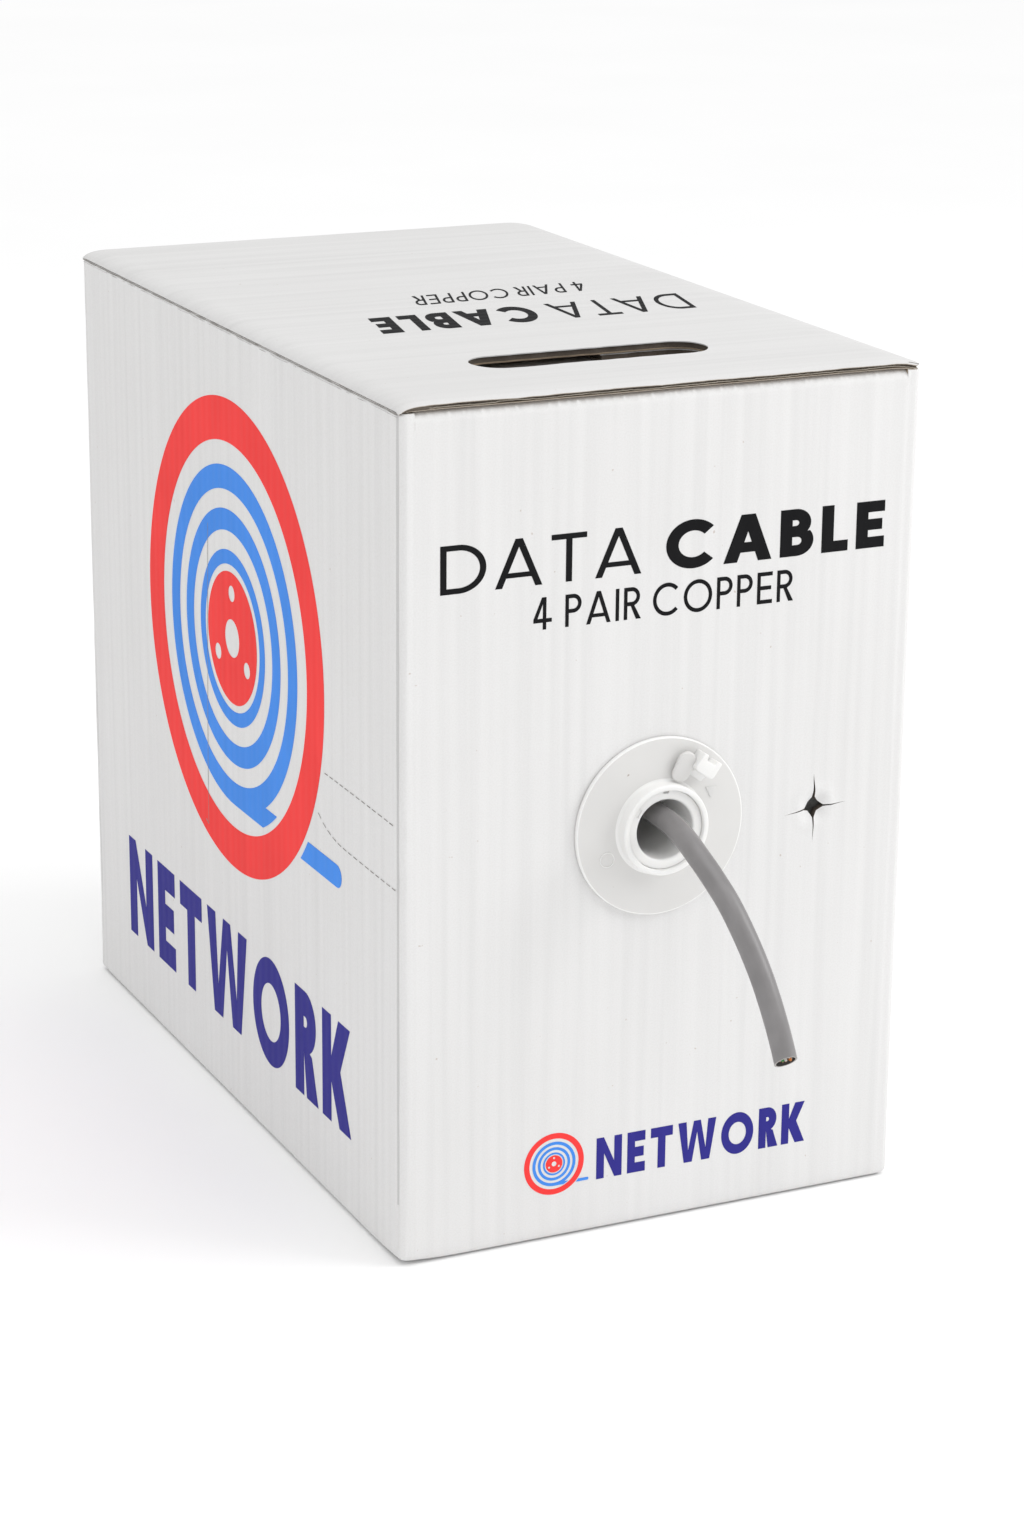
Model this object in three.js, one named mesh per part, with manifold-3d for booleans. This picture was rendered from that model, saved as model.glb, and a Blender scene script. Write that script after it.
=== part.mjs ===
// A cable spool box: a white corrugated carton with a reel of data cable inside it, paid out through
// a plastic spout in the front panel. Millimetres. X runs across the box, Y from front to back and
// Z up; the origin is the middle of the face that the carton stands on.
import * as THREE from "three";
import { mergeVertices } from "three/addons/utils/BufferGeometryUtils.js";
import Module from "manifold-3d";

const wasm = await Module();
wasm.setup();

// Carton
const WIDTH = 218;
const DEPTH = 356;
const HEIGHT = 340;
const BOARD = 3; // thickness of the single-wall corrugated board
const GAP = 0.3; // between pieces that touch
const MAJOR_FLAP = 100; // length of the inner flaps on the right wall
const DUST_FLAP = 100; // length of the front and back flaps
const DUST_TAPER = 0.55; // how much each side of a dust flap draws in per millimetre of its length
const DUST_INSET = 3; // between a dust flap's root and the side walls
const DIP_START = 3; // a dust flap dips under the inner flap between these distances from its crease
const DIP_END = 12;
const GLUE_FLAP = 36;
const HAND_HOLE = { x: -5, y: -121, length: 100, width: 24 };
const STAR_CUT = { x: 68, z: 164.5, arm: 14.5, waist: 3.3 };

// Spout
const SPOUT = { x: -1, z: 166.5 };
const FLANGE_RADIUS = 35.8;
const FLANGE_THICKNESS = 1.9;
const COLLAR_RADIUS = 18.2;
const COLLAR_BORE = 15.9;
const COLLAR_HEIGHT = 5.8; // above the flange's face
const SLEEVE_END = -166; // the sleeve's inner end, behind the front panel
const TUBE_RADIUS = 15.6;
const TUBE_BORE = 12;
const TUBE_LIP = 17.7;
const TUBE_END = -147;
const RING_RADIUS = 30;
const LATCH = { angle: 72.5, reach: 19.6, length: 12.6, width: 6, thickness: 1.6, tilt: 10 };
const CATCH = { angle: 54, reach: 25.8, width: 9.4, depth: 7.2, wall: 2.2, height: 6 };

// Reel
const REEL = { y: 24, z: 168 };
const REEL_RADIUS = 143;
const REEL_INNER = 84; // half the distance between the flanges
const PLY = 6; // thickness of the flanges
const BARREL_RADIUS = 60;
const BARREL_WALL = 6;
const WINDING_RADIUS = 130;
const HUB_HOLE = 18;
const BUSHING = { depth: 16, lip: 3, lipRadius: 27 };
const BOLT_CIRCLE = 38;
const BOLT_RADIUS = 3;
const BOLT_COUNT = 3;
const BOLT_HEAD = { radius: 8, height: 4 };
const BOLT_END = 8.4; // how far a bolt stands out of the right-hand flange
const WASHER = { radius: 9, thickness: 1.5 };
const NUT = { radius: 5.8, thickness: 5 };
const STARTER_HOLE = { degrees: 250, radius: 6, out: 8 }; // the cable's inner end comes through it
const AXLE_RADIUS = 11;
const AXLE_WALL = 2;
const SPACER_RADIUS = 16;
const SADDLE = { thickness: 6.5, from: -71, to: 119, top: 252, corner: 30, mouth: 5 };

// Cable
const CABLE_DIAMETER = 9;
const CABLE_SIDES = 10;
const TAIL_STEP = 20; // length of one straight of the cable's swept solids
const TAIL_ROUTE = [
  [-0.8, -186.3, 170.5], [-1.4, -191, 170.6], [-2, -197, 170.3], [-2.6, -203, 169.4],
  [-2.8, -208.5, 167.9], [-2.6, -214, 165.6], [-1.9, -220, 162.4], [-0.7, -226, 158.1],
  [0.9, -232, 152.8], [2.8, -238.5, 145.2], [4.6, -244.6, 136.9], [6.3, -250, 128.2],
  [7.8, -254.4, 119.3], [9.2, -258.2, 110.2], [10.2, -261, 102.6], [10.7, -262.6, 98],
];
const LEAD_ROUTE = [ // from the spout's mouth back to where the cable meets the winding
  [-0.8, -186, 170.5], [-0.3, -178, 170.4], [0, -169, 170.4], [-0.5, -160, 170.5],
  [-1.2, -145, 173.2], [-2.6, -132, 180.2], [-4.4, -122.4, 190.8], [-10, -105.5, 216.5],
];
const LEAD_TURN = { x: -18, from: 33.4, to: 108 }; // degrees round the winding, from the front

const SEGMENTS = 48;
const SMALL_SEGMENTS = 24;

const palette = {
  board: { color: 0xe9e8e5, roughness: 0.85, metalness: 0 },
  kraft: { color: 0xb08a5c, roughness: 0.9, metalness: 0 },
  plywood: { color: 0xc9a877, roughness: 0.7, metalness: 0 },
  spout: { color: 0xf0efec, roughness: 0.4, metalness: 0 },
  bushing: { color: 0x26282b, roughness: 0.5, metalness: 0 },
  steel: { color: 0xb9bcc0, roughness: 0.35, metalness: 1 },
  jacket: { color: 0x7d7a7b, roughness: 0.45, metalness: 0 },
};
const materials = Object.fromEntries(
  Object.entries(palette).map(([name, look]) => [name, new THREE.MeshStandardMaterial({ name, ...look })]),
);

// Where each local axis of a shape goes when it is extruded or turned along a world axis.
const EXTRUDE_BASIS = {
  x: [new THREE.Vector3(0, 1, 0), new THREE.Vector3(0, 0, 1), new THREE.Vector3(1, 0, 0)],
  y: [new THREE.Vector3(0, 0, 1), new THREE.Vector3(1, 0, 0), new THREE.Vector3(0, 1, 0)],
  z: [new THREE.Vector3(1, 0, 0), new THREE.Vector3(0, 1, 0), new THREE.Vector3(0, 0, 1)],
};
const LATHE_BASIS = {
  x: [new THREE.Vector3(0, 0, 1), new THREE.Vector3(1, 0, 0), new THREE.Vector3(0, 1, 0)],
  y: [new THREE.Vector3(1, 0, 0), new THREE.Vector3(0, 1, 0), new THREE.Vector3(0, 0, 1)],
};

function radians(degrees) {
  return THREE.MathUtils.degToRad(degrees);
}

// Outline points are [y, z] along x, [x, z] along y and [x, y] along z.
function flatPoints(points, axis) {
  return points.map(([a, b]) => (axis === "y" ? new THREE.Vector2(b, a) : new THREE.Vector2(a, b)));
}

// A prism along a world axis, from one coordinate to another, with holes through it.
function prism(axis, from, to, outline, holes = []) {
  const shape = new THREE.Shape(flatPoints(outline, axis));
  shape.holes = holes.map((hole) => new THREE.Path(flatPoints(hole, axis)));
  const geometry = new THREE.ExtrudeGeometry(shape, { depth: to - from, bevelEnabled: false });
  geometry.translate(0, 0, from);
  return geometry.applyMatrix4(new THREE.Matrix4().makeBasis(...EXTRUDE_BASIS[axis]));
}

// A body of revolution about a line along x or y. The profile is [radius, position along the line],
// and closes on itself or starts and ends on the line.
function turned(axis, centre, profile, segments = SEGMENTS) {
  const points = profile.map(([r, h]) => new THREE.Vector2(r, h));
  if (THREE.ShapeUtils.area(points) < 0) {
    points.reverse();
  }
  if (!profile.some(([r]) => r === 0)) {
    points.push(points[0].clone());
  }
  const geometry = new THREE.LatheGeometry(points, segments);
  geometry.applyMatrix4(new THREE.Matrix4().makeBasis(...LATHE_BASIS[axis]));
  return axis === "x" ? geometry.translate(0, ...centre) : geometry.translate(centre[0], 0, centre[1]);
}

function tube(axis, centre, inner, outer, from, to, segments = SEGMENTS) {
  return turned(axis, centre, [[inner, from], [outer, from], [outer, to], [inner, to]], segments);
}

// A closed mesh as a solid that can be joined and cut.
function solid(geometry) {
  const bare = geometry.clone();
  bare.deleteAttribute("normal");
  bare.deleteAttribute("uv");
  const merged = mergeVertices(bare, 1e-4);
  const mesh = new wasm.Mesh({
    numProp: 3,
    vertProperties: merged.attributes.position.array,
    triVerts: new Uint32Array(merged.index.array),
  });
  return new wasm.Manifold(mesh);
}

function geometryOf(made) {
  const mesh = made.getMesh();
  const geometry = new THREE.BufferGeometry();
  geometry.setAttribute("position", new THREE.BufferAttribute(new Float32Array(mesh.vertProperties), 3));
  geometry.setIndex(new THREE.BufferAttribute(new Uint32Array(mesh.triVerts), 1));
  geometry.computeVertexNormals();
  return geometry;
}

function joined(first, ...others) {
  return geometryOf(others.reduce((made, other) => made.add(solid(other)), solid(first)));
}

function cut(first, ...tools) {
  return geometryOf(tools.reduce((made, tool) => made.subtract(solid(tool)), solid(first)));
}

// A point at a radius and an angle, in degrees from the first axis, about a centre.
function polar(centre, radius, degrees) {
  const angle = radians(degrees);
  return [centre[0] + radius * Math.cos(angle), centre[1] + radius * Math.sin(angle)];
}

function arc(centre, radius, from, to, count) {
  const step = (to - from) / count;
  return Array.from({ length: count + 1 }, (_, i) => polar(centre, radius, from + i * step));
}

function circle(centre, radius, segments = SEGMENTS) {
  return arc(centre, radius, 0, 360 - 360 / segments, segments - 1);
}

function rectangle(left, right, low, high) {
  return [[left, low], [right, low], [right, high], [left, high]];
}

const root = new THREE.Group();
root.name = "cable_spool_box";

function place(parent, name, geometry, material) {
  const mesh = new THREE.Mesh(geometry, materials[material]);
  mesh.name = name;
  parent.add(mesh);
}

// Levels of the three layers of flaps, counted from the outer face of the carton's top or bottom.
function layer(number) {
  const outer = (number - 1) * (BOARD + GAP);
  return { outer, inner: outer + BOARD };
}

// A height above the ground for a depth below the top face, or above the bottom face.
function level(end, depth) {
  return end === "top" ? HEIGHT - depth : depth;
}

function span(end, a, b) {
  return [level(end, a), level(end, b)].sort((p, q) => p - q);
}

// The slot of the hand hole, with round ends, widened by a margin.
function handHole(margin) {
  const half = HAND_HOLE.width / 2 + margin;
  const reach = HAND_HOLE.length / 2 - HAND_HOLE.width / 2;
  const right = arc([HAND_HOLE.x + reach, HAND_HOLE.y], half, -90, 90, 8);
  const left = arc([HAND_HOLE.x - reach, HAND_HOLE.y], half, 90, 270, 8);
  return [...right, ...left];
}

function starOutline() {
  const points = [];
  for (let i = 0; i < 8; i += 1) {
    const radius = i % 2 === 0 ? STAR_CUT.arm : STAR_CUT.waist;
    points.push(polar([STAR_CUT.x, STAR_CUT.z], radius, i * 45));
  }
  return points;
}

// The four walls meet in mitres. The left wall's and the right wall's top edges are bevelled, so that
// a flap can swing right over.
function cartonWalls(parent) {
  const x = WIDTH / 2;
  const y = DEPTH / 2;
  const end = layer(2).inner + GAP;
  const facing = [
    [-x + GAP, -y], [x - GAP, -y], [x - BOARD - GAP, -y + BOARD], [-x + BOARD + GAP, -y + BOARD],
  ];
  const front = solid(prism("z", end, HEIGHT - end, facing));
  const spoutHole = prism("y", -y - 1, -y + BOARD + 1, circle([SPOUT.x, SPOUT.z], COLLAR_RADIUS + 0.5));
  const star = prism("y", -y - 1, -y + BOARD + 1, starOutline());
  const frontPanel = geometryOf(front.subtract(solid(spoutHole)).subtract(solid(star)));
  place(parent, "front_panel", frontPanel, "board");
  place(parent, "back_panel", prism("z", end, HEIGHT - end, facing.map(([a, b]) => [a, -b])), "board");

  const side = [
    [-x, -y + GAP], [-x + BOARD, -y + BOARD + GAP], [-x + BOARD, y - BOARD - GAP], [-x, y - GAP],
  ];
  const leftTop = HEIGHT - layer(1).inner - GAP;
  const leftWall = prism("z", layer(1).inner + GAP, leftTop, side);
  place(parent, "left_panel", cut(leftWall, bevelTool(-1, leftTop)), "board");
  const rightTop = HEIGHT - end;
  const rightWall = prism("z", end, rightTop, side.map(([a, b]) => [-a, b]));
  place(parent, "right_panel", cut(rightWall, bevelTool(1, rightTop)), "board");

  const glueFlap = prism(
    "z",
    4 * BOARD,
    HEIGHT - 4 * BOARD,
    rectangle(x - BOARD - GAP - GLUE_FLAP, x - BOARD - GAP, y - 2 * BOARD - GAP, y - BOARD - GAP),
  );
  place(parent, "glue_flap", glueFlap, "board");
}

// Takes the outer top corner off a side wall at 45 degrees.
function bevelTool(side, top) {
  const inner = side * (WIDTH / 2 - BOARD);
  const outer = side * (WIDTH / 2 + 1);
  const drop = Math.abs(outer - inner);
  return prism("y", -DEPTH / 2 - 1, DEPTH / 2 + 1, [[inner, top], [outer, top - drop], [outer, top]]);
}

// The outermost flap, creased on the left wall, covers the whole end of the carton.
function outerFlap(parent, name, end) {
  const [low, high] = span(end, layer(1).outer, layer(1).inner);
  const x = WIDTH / 2;
  const y = DEPTH / 2;
  if (end === "bottom") {
    place(parent, name, prism("z", low, high, rectangle(-x, x, -y, y)), "board");
    return;
  }
  const crease = -x + BOARD + GAP;
  const profile = [[crease, low], [x, low], [x, high], [crease + BOARD, high]];
  const plate = prism("y", -y, y, profile);
  place(parent, name, cut(plate, prism("z", low - 1, high + 1, handHole(0))), "board");
}

// The flap on the right wall lies in the second layer and reaches less than half way across.
function innerFlap(parent, name, end) {
  const [low, high] = span(end, layer(2).outer, layer(2).inner);
  const crease = WIDTH / 2 - BOARD - GAP;
  const free = WIDTH / 2 - BOARD - MAJOR_FLAP;
  const half = DEPTH / 2 - BOARD - DIP_END;
  const bevel = end === "top" ? BOARD : 0;
  const plate = prism("y", -half, half, [[free, low], [crease, low], [crease - bevel, high], [free, high]]);
  if (end === "bottom") {
    place(parent, name, plate, "board");
    return;
  }
  place(parent, name, cut(plate, prism("z", low - 1, high + 1, handHole(1))), "board");
}

// A dust flap starts under the outer flap and dips beneath the inner flap. Its sides draw in towards
// its tip, so that it clears the big flaps as they all open.
function dustFlap(parent, name, end, side) {
  const crease = DEPTH / 2 - BOARD - GAP;
  const tip = DEPTH / 2 - BOARD - DUST_FLAP;
  const upper = layer(2);
  const lower = layer(3);
  const section = [
    [crease, upper.outer],
    [crease, upper.inner],
    [crease - DIP_START, upper.inner],
    [crease - DIP_END, lower.inner],
    [tip, lower.inner],
    [tip, lower.outer],
    [crease - DIP_END + 1, lower.outer],
    [crease - DIP_START + 1, upper.outer],
  ].map(([along, depth]) => [side * along, level(end, depth)]);
  const rootHalf = WIDTH / 2 - BOARD - DUST_INSET;
  const tipHalf = rootHalf - DUST_TAPER * DUST_FLAP;
  const plan = [
    [-rootHalf, side * crease], [rootHalf, side * crease], [tipHalf, side * tip], [-tipHalf, side * tip],
  ];
  const strip = solid(prism("x", -rootHalf, rootHalf, section));
  const [low, high] = span(end, layer(1).outer, layer(4).inner);
  let made = strip.intersect(solid(prism("z", low, high, plan)));
  if (end === "top" && side < 0) {
    made = made.subtract(solid(prism("z", low, high, handHole(-0.6))));
  }
  place(parent, name, geometryOf(made), "board");
}

// A wedge-shaped box on the spout's flange: u runs outwards from the spout's axis and v round it.
function flangeBlock(angle, reach, length, offset, width, height) {
  const sunk = 0.6;
  const geometry = new THREE.BoxGeometry(length, height + sunk, width);
  geometry.translate(reach + length / 2, -(height - sunk) / 2, offset);
  geometry.rotateY(-radians(angle));
  return geometry.translate(SPOUT.x, -DEPTH / 2 - GAP - FLANGE_THICKNESS, SPOUT.z);
}

function spout(parent) {
  const centre = [SPOUT.x, SPOUT.z];
  const back = -DEPTH / 2 - GAP;
  const face = back - FLANGE_THICKNESS;
  const mouth = face - COLLAR_HEIGHT;
  const body = turned("y", centre, [
    [COLLAR_BORE, SLEEVE_END], [COLLAR_RADIUS, SLEEVE_END], [COLLAR_RADIUS, back], [FLANGE_RADIUS, back],
    [FLANGE_RADIUS, face + 0.6], [FLANGE_RADIUS - 0.6, face], [COLLAR_RADIUS + 0.6, face],
    [COLLAR_RADIUS, mouth + 0.8], [COLLAR_RADIUS - 0.8, mouth], [COLLAR_BORE + 0.4, mouth],
    [COLLAR_BORE, mouth + 0.4],
  ]);
  const half = CATCH.width / 2;
  const { angle, reach, width, depth, wall, height } = CATCH;
  const sides = [-1, 1].map((sign) => {
    return flangeBlock(angle, reach, depth, sign * (half - wall / 2), wall, height);
  });
  place(
    parent,
    "spout_flange",
    joined(body, flangeBlock(angle, reach, wall, 0, width, height), ...sides),
    "spout",
  );

  const front = mouth + 1.5;
  const tubeBody = turned("y", centre, [
    [TUBE_BORE, TUBE_END], [TUBE_RADIUS, TUBE_END], [TUBE_LIP, TUBE_END - 2.5], [TUBE_LIP, SLEEVE_END + 0.4],
    [TUBE_RADIUS, SLEEVE_END + 0.4], [TUBE_RADIUS, front + 0.5], [TUBE_RADIUS - 0.5, front],
    [TUBE_BORE + 0.6, front], [TUBE_BORE, front + 0.6],
  ]);
  const notch = new THREE.BoxGeometry(2.4, 3, 2.2);
  notch.translate(SPOUT.x, front, SPOUT.z + TUBE_RADIUS);
  place(parent, "payout_tube", cut(tubeBody, notch), "spout");

  const ringFrom = -DEPTH / 2 + BOARD + GAP;
  const ring = tube("y", centre, COLLAR_RADIUS + GAP, RING_RADIUS, ringFrom, ringFrom + BOARD);
  const grips = [30, 150, 270].map((degrees) => {
    const [gx, gz] = polar(centre, RING_RADIUS, degrees);
    return prism("y", ringFrom - 1, ringFrom + BOARD + 1, circle([gx, gz], 4, 12));
  });
  place(parent, "spout_retaining_ring", cut(ring, ...grips), "spout");
  spoutLatch(parent, face);
}

// A flat paddle with round ends that stands off the flange at a slant, hinged by its inner end.
function spoutLatch(parent, face) {
  const { angle, reach, length, width, thickness, tilt } = LATCH;
  const half = width / 2;
  const outline = [...arc([length - half, 0], half, -90, 90, 8), ...arc([half, 0], half, 90, 270, 8)];
  const paddle = prism("z", 0, thickness, outline);
  const outward = new THREE.Vector3(Math.cos(radians(angle)), 0, Math.sin(radians(angle)));
  const normal = new THREE.Vector3(0, -1, 0);
  const across = new THREE.Vector3().crossVectors(normal, outward);
  paddle.rotateY(-radians(tilt));
  paddle.applyMatrix4(new THREE.Matrix4().makeBasis(outward, across, normal));
  const [hx, hz] = polar([SPOUT.x, SPOUT.z], reach, angle);
  paddle.translate(hx, face - GAP, hz);
  place(parent, "spout_latch", paddle, "spout");
}

function reel(parent) {
  const centre = [REEL.y, REEL.z];
  const outer = REEL_INNER + PLY;
  const bolts = arc(centre, BOLT_CIRCLE, 90, 450, BOLT_COUNT).slice(0, BOLT_COUNT);
  for (const [name, sign] of [["left", -1], ["right", 1]]) {
    const [from, to] = [sign * outer, sign * REEL_INNER].sort((a, b) => a - b);
    const disc = tube("x", centre, HUB_HOLE, REEL_RADIUS, from, to, 64);
    const holes = bolts.map((at) => prism("x", from - 1, to + 1, circle(at, BOLT_RADIUS + GAP, 16)));
    if (sign < 0) {
      const start = polar(centre, BARREL_RADIUS + STARTER_HOLE.out, STARTER_HOLE.degrees);
      holes.push(prism("x", from - 1, to + 1, circle(start, STARTER_HOLE.radius, 16)));
    }
    place(parent, `reel_flange_${name}`, cut(disc, ...holes), "plywood");
    hubBushing(parent, name, sign, outer);
  }
  const half = REEL_INNER - GAP;
  const barrel = tube("x", centre, BARREL_RADIUS - BARREL_WALL, BARREL_RADIUS, -half, half);
  place(parent, "reel_barrel", barrel, "kraft");
  const winding = turned("x", centre, [
    [BARREL_RADIUS + GAP, -half + GAP], [WINDING_RADIUS - 4, -half + GAP], [WINDING_RADIUS, -half + 5],
    [WINDING_RADIUS, half - 5], [WINDING_RADIUS - 4, half - GAP], [BARREL_RADIUS + GAP, half - GAP],
  ], 64);
  place(parent, "cable_winding", winding, "jacket");
  bolts.forEach((at, i) => tieBolt(parent, at, i + 1, outer));
}

// The plastic bearing in a flange's hub hole, with a lip against the flange's outer face.
function hubBushing(parent, name, sign, outer) {
  const { depth, lip, lipRadius } = BUSHING;
  const face = outer + GAP;
  const bushing = turned("x", [REEL.y, REEL.z], [
    [AXLE_RADIUS + GAP, sign * (outer - depth)], [HUB_HOLE - GAP, sign * (outer - depth)],
    [HUB_HOLE - GAP, sign * face], [lipRadius, sign * face], [lipRadius, sign * (face + lip - 0.6)],
    [lipRadius - 0.6, sign * (face + lip)], [AXLE_RADIUS + GAP, sign * (face + lip)],
  ]);
  place(parent, `hub_bushing_${name}`, bushing, "bushing");
}

// A carriage bolt right through the reel, with its washer and nut on the right-hand flange.
function tieBolt(parent, at, number, outer) {
  const under = -outer - GAP;
  const { radius, height } = BOLT_HEAD;
  const bolt = turned("x", at, [
    [0, under - height], [0.56 * radius, under - 0.85 * height], [radius, under - 0.3 * height],
    [radius, under], [BOLT_RADIUS, under], [BOLT_RADIUS, outer + BOLT_END], [0, outer + BOLT_END],
  ], 16);
  place(parent, `tie_bolt_${number}`, bolt, "steel");
  const seat = outer + GAP;
  const clear = BOLT_RADIUS + GAP;
  const washer = tube("x", at, clear, WASHER.radius, seat, seat + WASHER.thickness, SMALL_SEGMENTS);
  place(parent, `tie_washer_${number}`, washer, "steel");
  const from = seat + WASHER.thickness + GAP;
  const nut = prism("x", from, from + NUT.thickness, circle(at, NUT.radius, 6), [circle(at, clear, 12)]);
  place(parent, `tie_nut_${number}`, nut, "steel");
}

// The reel turns on a steel tube that rests in two corrugated saddles, one glued inside each side wall.
function axleAndSaddles(parent) {
  const centre = [REEL.y, REEL.z];
  const wall = WIDTH / 2 - BOARD;
  const half = wall - 0.8;
  const axle = tube("x", centre, AXLE_RADIUS - AXLE_WALL, AXLE_RADIUS, -half, half);
  place(parent, "axle_tube", axle, "steel");
  const slot = AXLE_RADIUS + GAP;
  const { thickness, top, corner, mouth } = SADDLE;
  for (const [name, sign] of [["left", -1], ["right", 1]]) {
    const near = sign * (REEL_INNER + PLY + 3 * GAP + BUSHING.lip);
    const far = sign * (wall - GAP - thickness - 0.5);
    const [from, to] = [near, far].sort((a, b) => a - b);
    const spacer = tube("x", centre, slot, SPACER_RADIUS, from, to, SMALL_SEGMENTS);
    place(parent, `axle_spacer_${name}`, spacer, "bushing");
    const floor = layer(sign < 0 ? 1 : 2).inner + GAP;
    const outline = [
      [SADDLE.from, floor], [SADDLE.to, floor], [SADDLE.to, top - corner], [SADDLE.to - corner, top],
      [REEL.y + slot + mouth, top], [REEL.y + slot, top - mouth],
      ...arc(centre, slot, 0, -180, 16),
      [REEL.y - slot, top - mouth], [REEL.y - slot - mouth, top], [SADDLE.from + corner, top],
      [SADDLE.from, top - corner],
    ];
    const faces = [sign * (wall - GAP), sign * (wall - GAP - thickness)].sort((a, b) => a - b);
    place(parent, `saddle_${name}`, prism("x", faces[0], faces[1], outline), "kraft");
  }
}

function cablePiece(points) {
  const curve = new THREE.CatmullRomCurve3(points.map((p) => new THREE.Vector3(...p)));
  const section = new THREE.Shape(
    circle([0, 0], CABLE_DIAMETER / 2, CABLE_SIDES).map(([a, b]) => new THREE.Vector2(a, b)),
  );
  const steps = Math.ceil(curve.getLength() / TAIL_STEP) * 2;
  return new THREE.ExtrudeGeometry(section, { steps, bevelEnabled: false, extrudePath: curve });
}

function cable(parent) {
  place(parent, "cable_tail", cablePiece(TAIL_ROUTE), "jacket");
  const radius = WINDING_RADIUS + CABLE_DIAMETER / 2 + 2 * GAP;
  const turn = [];
  for (let i = 0; i <= 8; i += 1) {
    const degrees = LEAD_TURN.from + ((LEAD_TURN.to - LEAD_TURN.from) * i) / 8;
    const [y, z] = polar([REEL.y, REEL.z], radius, 180 - degrees);
    turn.push([LEAD_TURN.x, y, z]);
  }
  place(parent, "cable_lead", cablePiece([...LEAD_ROUTE, ...turn]), "jacket");
}

cartonWalls(root);
outerFlap(root, "top_outer_flap", "top");
innerFlap(root, "top_inner_flap", "top");
dustFlap(root, "top_front_flap", "top", -1);
dustFlap(root, "top_back_flap", "top", 1);
outerFlap(root, "bottom_outer_flap", "bottom");
innerFlap(root, "bottom_inner_flap", "bottom");
dustFlap(root, "bottom_front_flap", "bottom", -1);
dustFlap(root, "bottom_back_flap", "bottom", 1);
spout(root);
axleAndSaddles(root);
reel(root);
cable(root);

export default root;
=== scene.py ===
"""The looks of a cable spool box: a white corrugated carton that pays a grey cable out of a round
plastic spout in its front. Lengths are in millimetres until a mesh is made, which turns them to metres.
X runs across the box, Y from front to back and Z up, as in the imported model.
"""

import math

import bmesh
import bpy
from mathutils import Matrix, Vector, noise


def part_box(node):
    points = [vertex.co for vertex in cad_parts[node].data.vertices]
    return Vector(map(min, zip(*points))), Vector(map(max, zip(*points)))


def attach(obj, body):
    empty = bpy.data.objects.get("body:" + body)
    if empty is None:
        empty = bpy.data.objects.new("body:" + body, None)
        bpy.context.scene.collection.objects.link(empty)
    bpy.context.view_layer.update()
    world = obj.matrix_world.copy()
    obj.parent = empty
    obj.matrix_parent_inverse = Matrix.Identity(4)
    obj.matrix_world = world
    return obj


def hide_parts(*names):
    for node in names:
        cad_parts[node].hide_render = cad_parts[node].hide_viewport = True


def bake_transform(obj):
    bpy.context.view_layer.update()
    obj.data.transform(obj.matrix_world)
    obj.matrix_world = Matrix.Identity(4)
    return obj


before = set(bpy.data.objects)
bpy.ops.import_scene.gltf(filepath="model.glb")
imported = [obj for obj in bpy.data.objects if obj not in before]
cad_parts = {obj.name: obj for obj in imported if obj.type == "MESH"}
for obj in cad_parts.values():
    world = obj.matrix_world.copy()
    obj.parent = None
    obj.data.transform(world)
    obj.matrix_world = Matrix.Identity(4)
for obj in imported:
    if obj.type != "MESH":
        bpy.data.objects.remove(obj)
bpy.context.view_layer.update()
scene = bpy.context.scene

MM = 0.001
low, high = ([c * 1000 for c in corner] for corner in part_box("bottom_outer_flap"))
HALF_X = high[0]
HALF_Y = high[1]
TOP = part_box("top_outer_flap")[1][2] * 1000
BOARD = high[2] - low[2]
LINER = 0.14  # share of the board's thickness that each paper facing takes
CORNER = 2.6  # radius of the carton's upright edges
FLUTE = 6.6  # pitch of the board's flutes
OUTER_HINGE = TOP - BOARD
INNER_HINGE = TOP - 2 * BOARD - 0.3

SPOUT = (-1.0, 166.5)  # the spout's middle on the front panel, in X and Z
FLANGE_BACK = -HALF_Y - 0.3
FLANGE_FACE = FLANGE_BACK - 1.9
MOUTH = FLANGE_FACE - 5.8
FLANGE_RADIUS = 35.8
COLLAR_RADIUS = 18.2
COLLAR_BORE = 15.9
TUBE_BORE = 12.0
SLEEVE_END = -166.0
CABLE_RADIUS = 4.5
REEL = (24.0, 168.0)  # the reel's axis, in Y and Z
WINDING_RADIUS = 130.0

TAIL_ROUTE = [
    (-0.8, -186.3, 170.5), (-1.4, -191, 170.6), (-2, -197, 170.3), (-2.6, -203, 169.4),
    (-2.8, -208.5, 167.9), (-2.6, -214, 165.6), (-1.9, -220, 162.4), (-0.7, -226, 158.1),
    (0.9, -232, 152.8), (2.8, -238.5, 145.2), (4.6, -244.6, 136.9), (6.3, -250, 128.2),
    (7.8, -254.4, 119.3), (9.2, -258.2, 110.2), (10.2, -261, 102.6), (10.7, -262.6, 98),
]
LEAD_ROUTE = [
    (-0.8, -186, 170.5), (-0.3, -178, 170.4), (0, -169, 170.4), (-0.5, -160, 170.5),
    (-1.2, -145, 173.2), (-2.6, -132, 180.2), (-4.4, -122.4, 190.8), (-10, -105.5, 216.5),
]
LEAD_TURN = (-18.0, 33.4, 108.0)  # its turn on the reel: X, and where it starts and stops in degrees
SUNK = 2.0  # depth of the conductors' ends behind the jacket's cut

CAMERA_ANGLES = (-25.186, 17.779, 0.517)  # azimuth, elevation and roll in degrees
CAMERA_AIM = (-0.0071, -0.025, 0.170)  # in metres
CAMERA_PLACE = (0.04151, -0.06931, 4.4788)  # from the aim, across, up and back, in heights of the box
CAMERA_LENS = 84.825


# ---------------------------------------------------------------- camera


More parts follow.
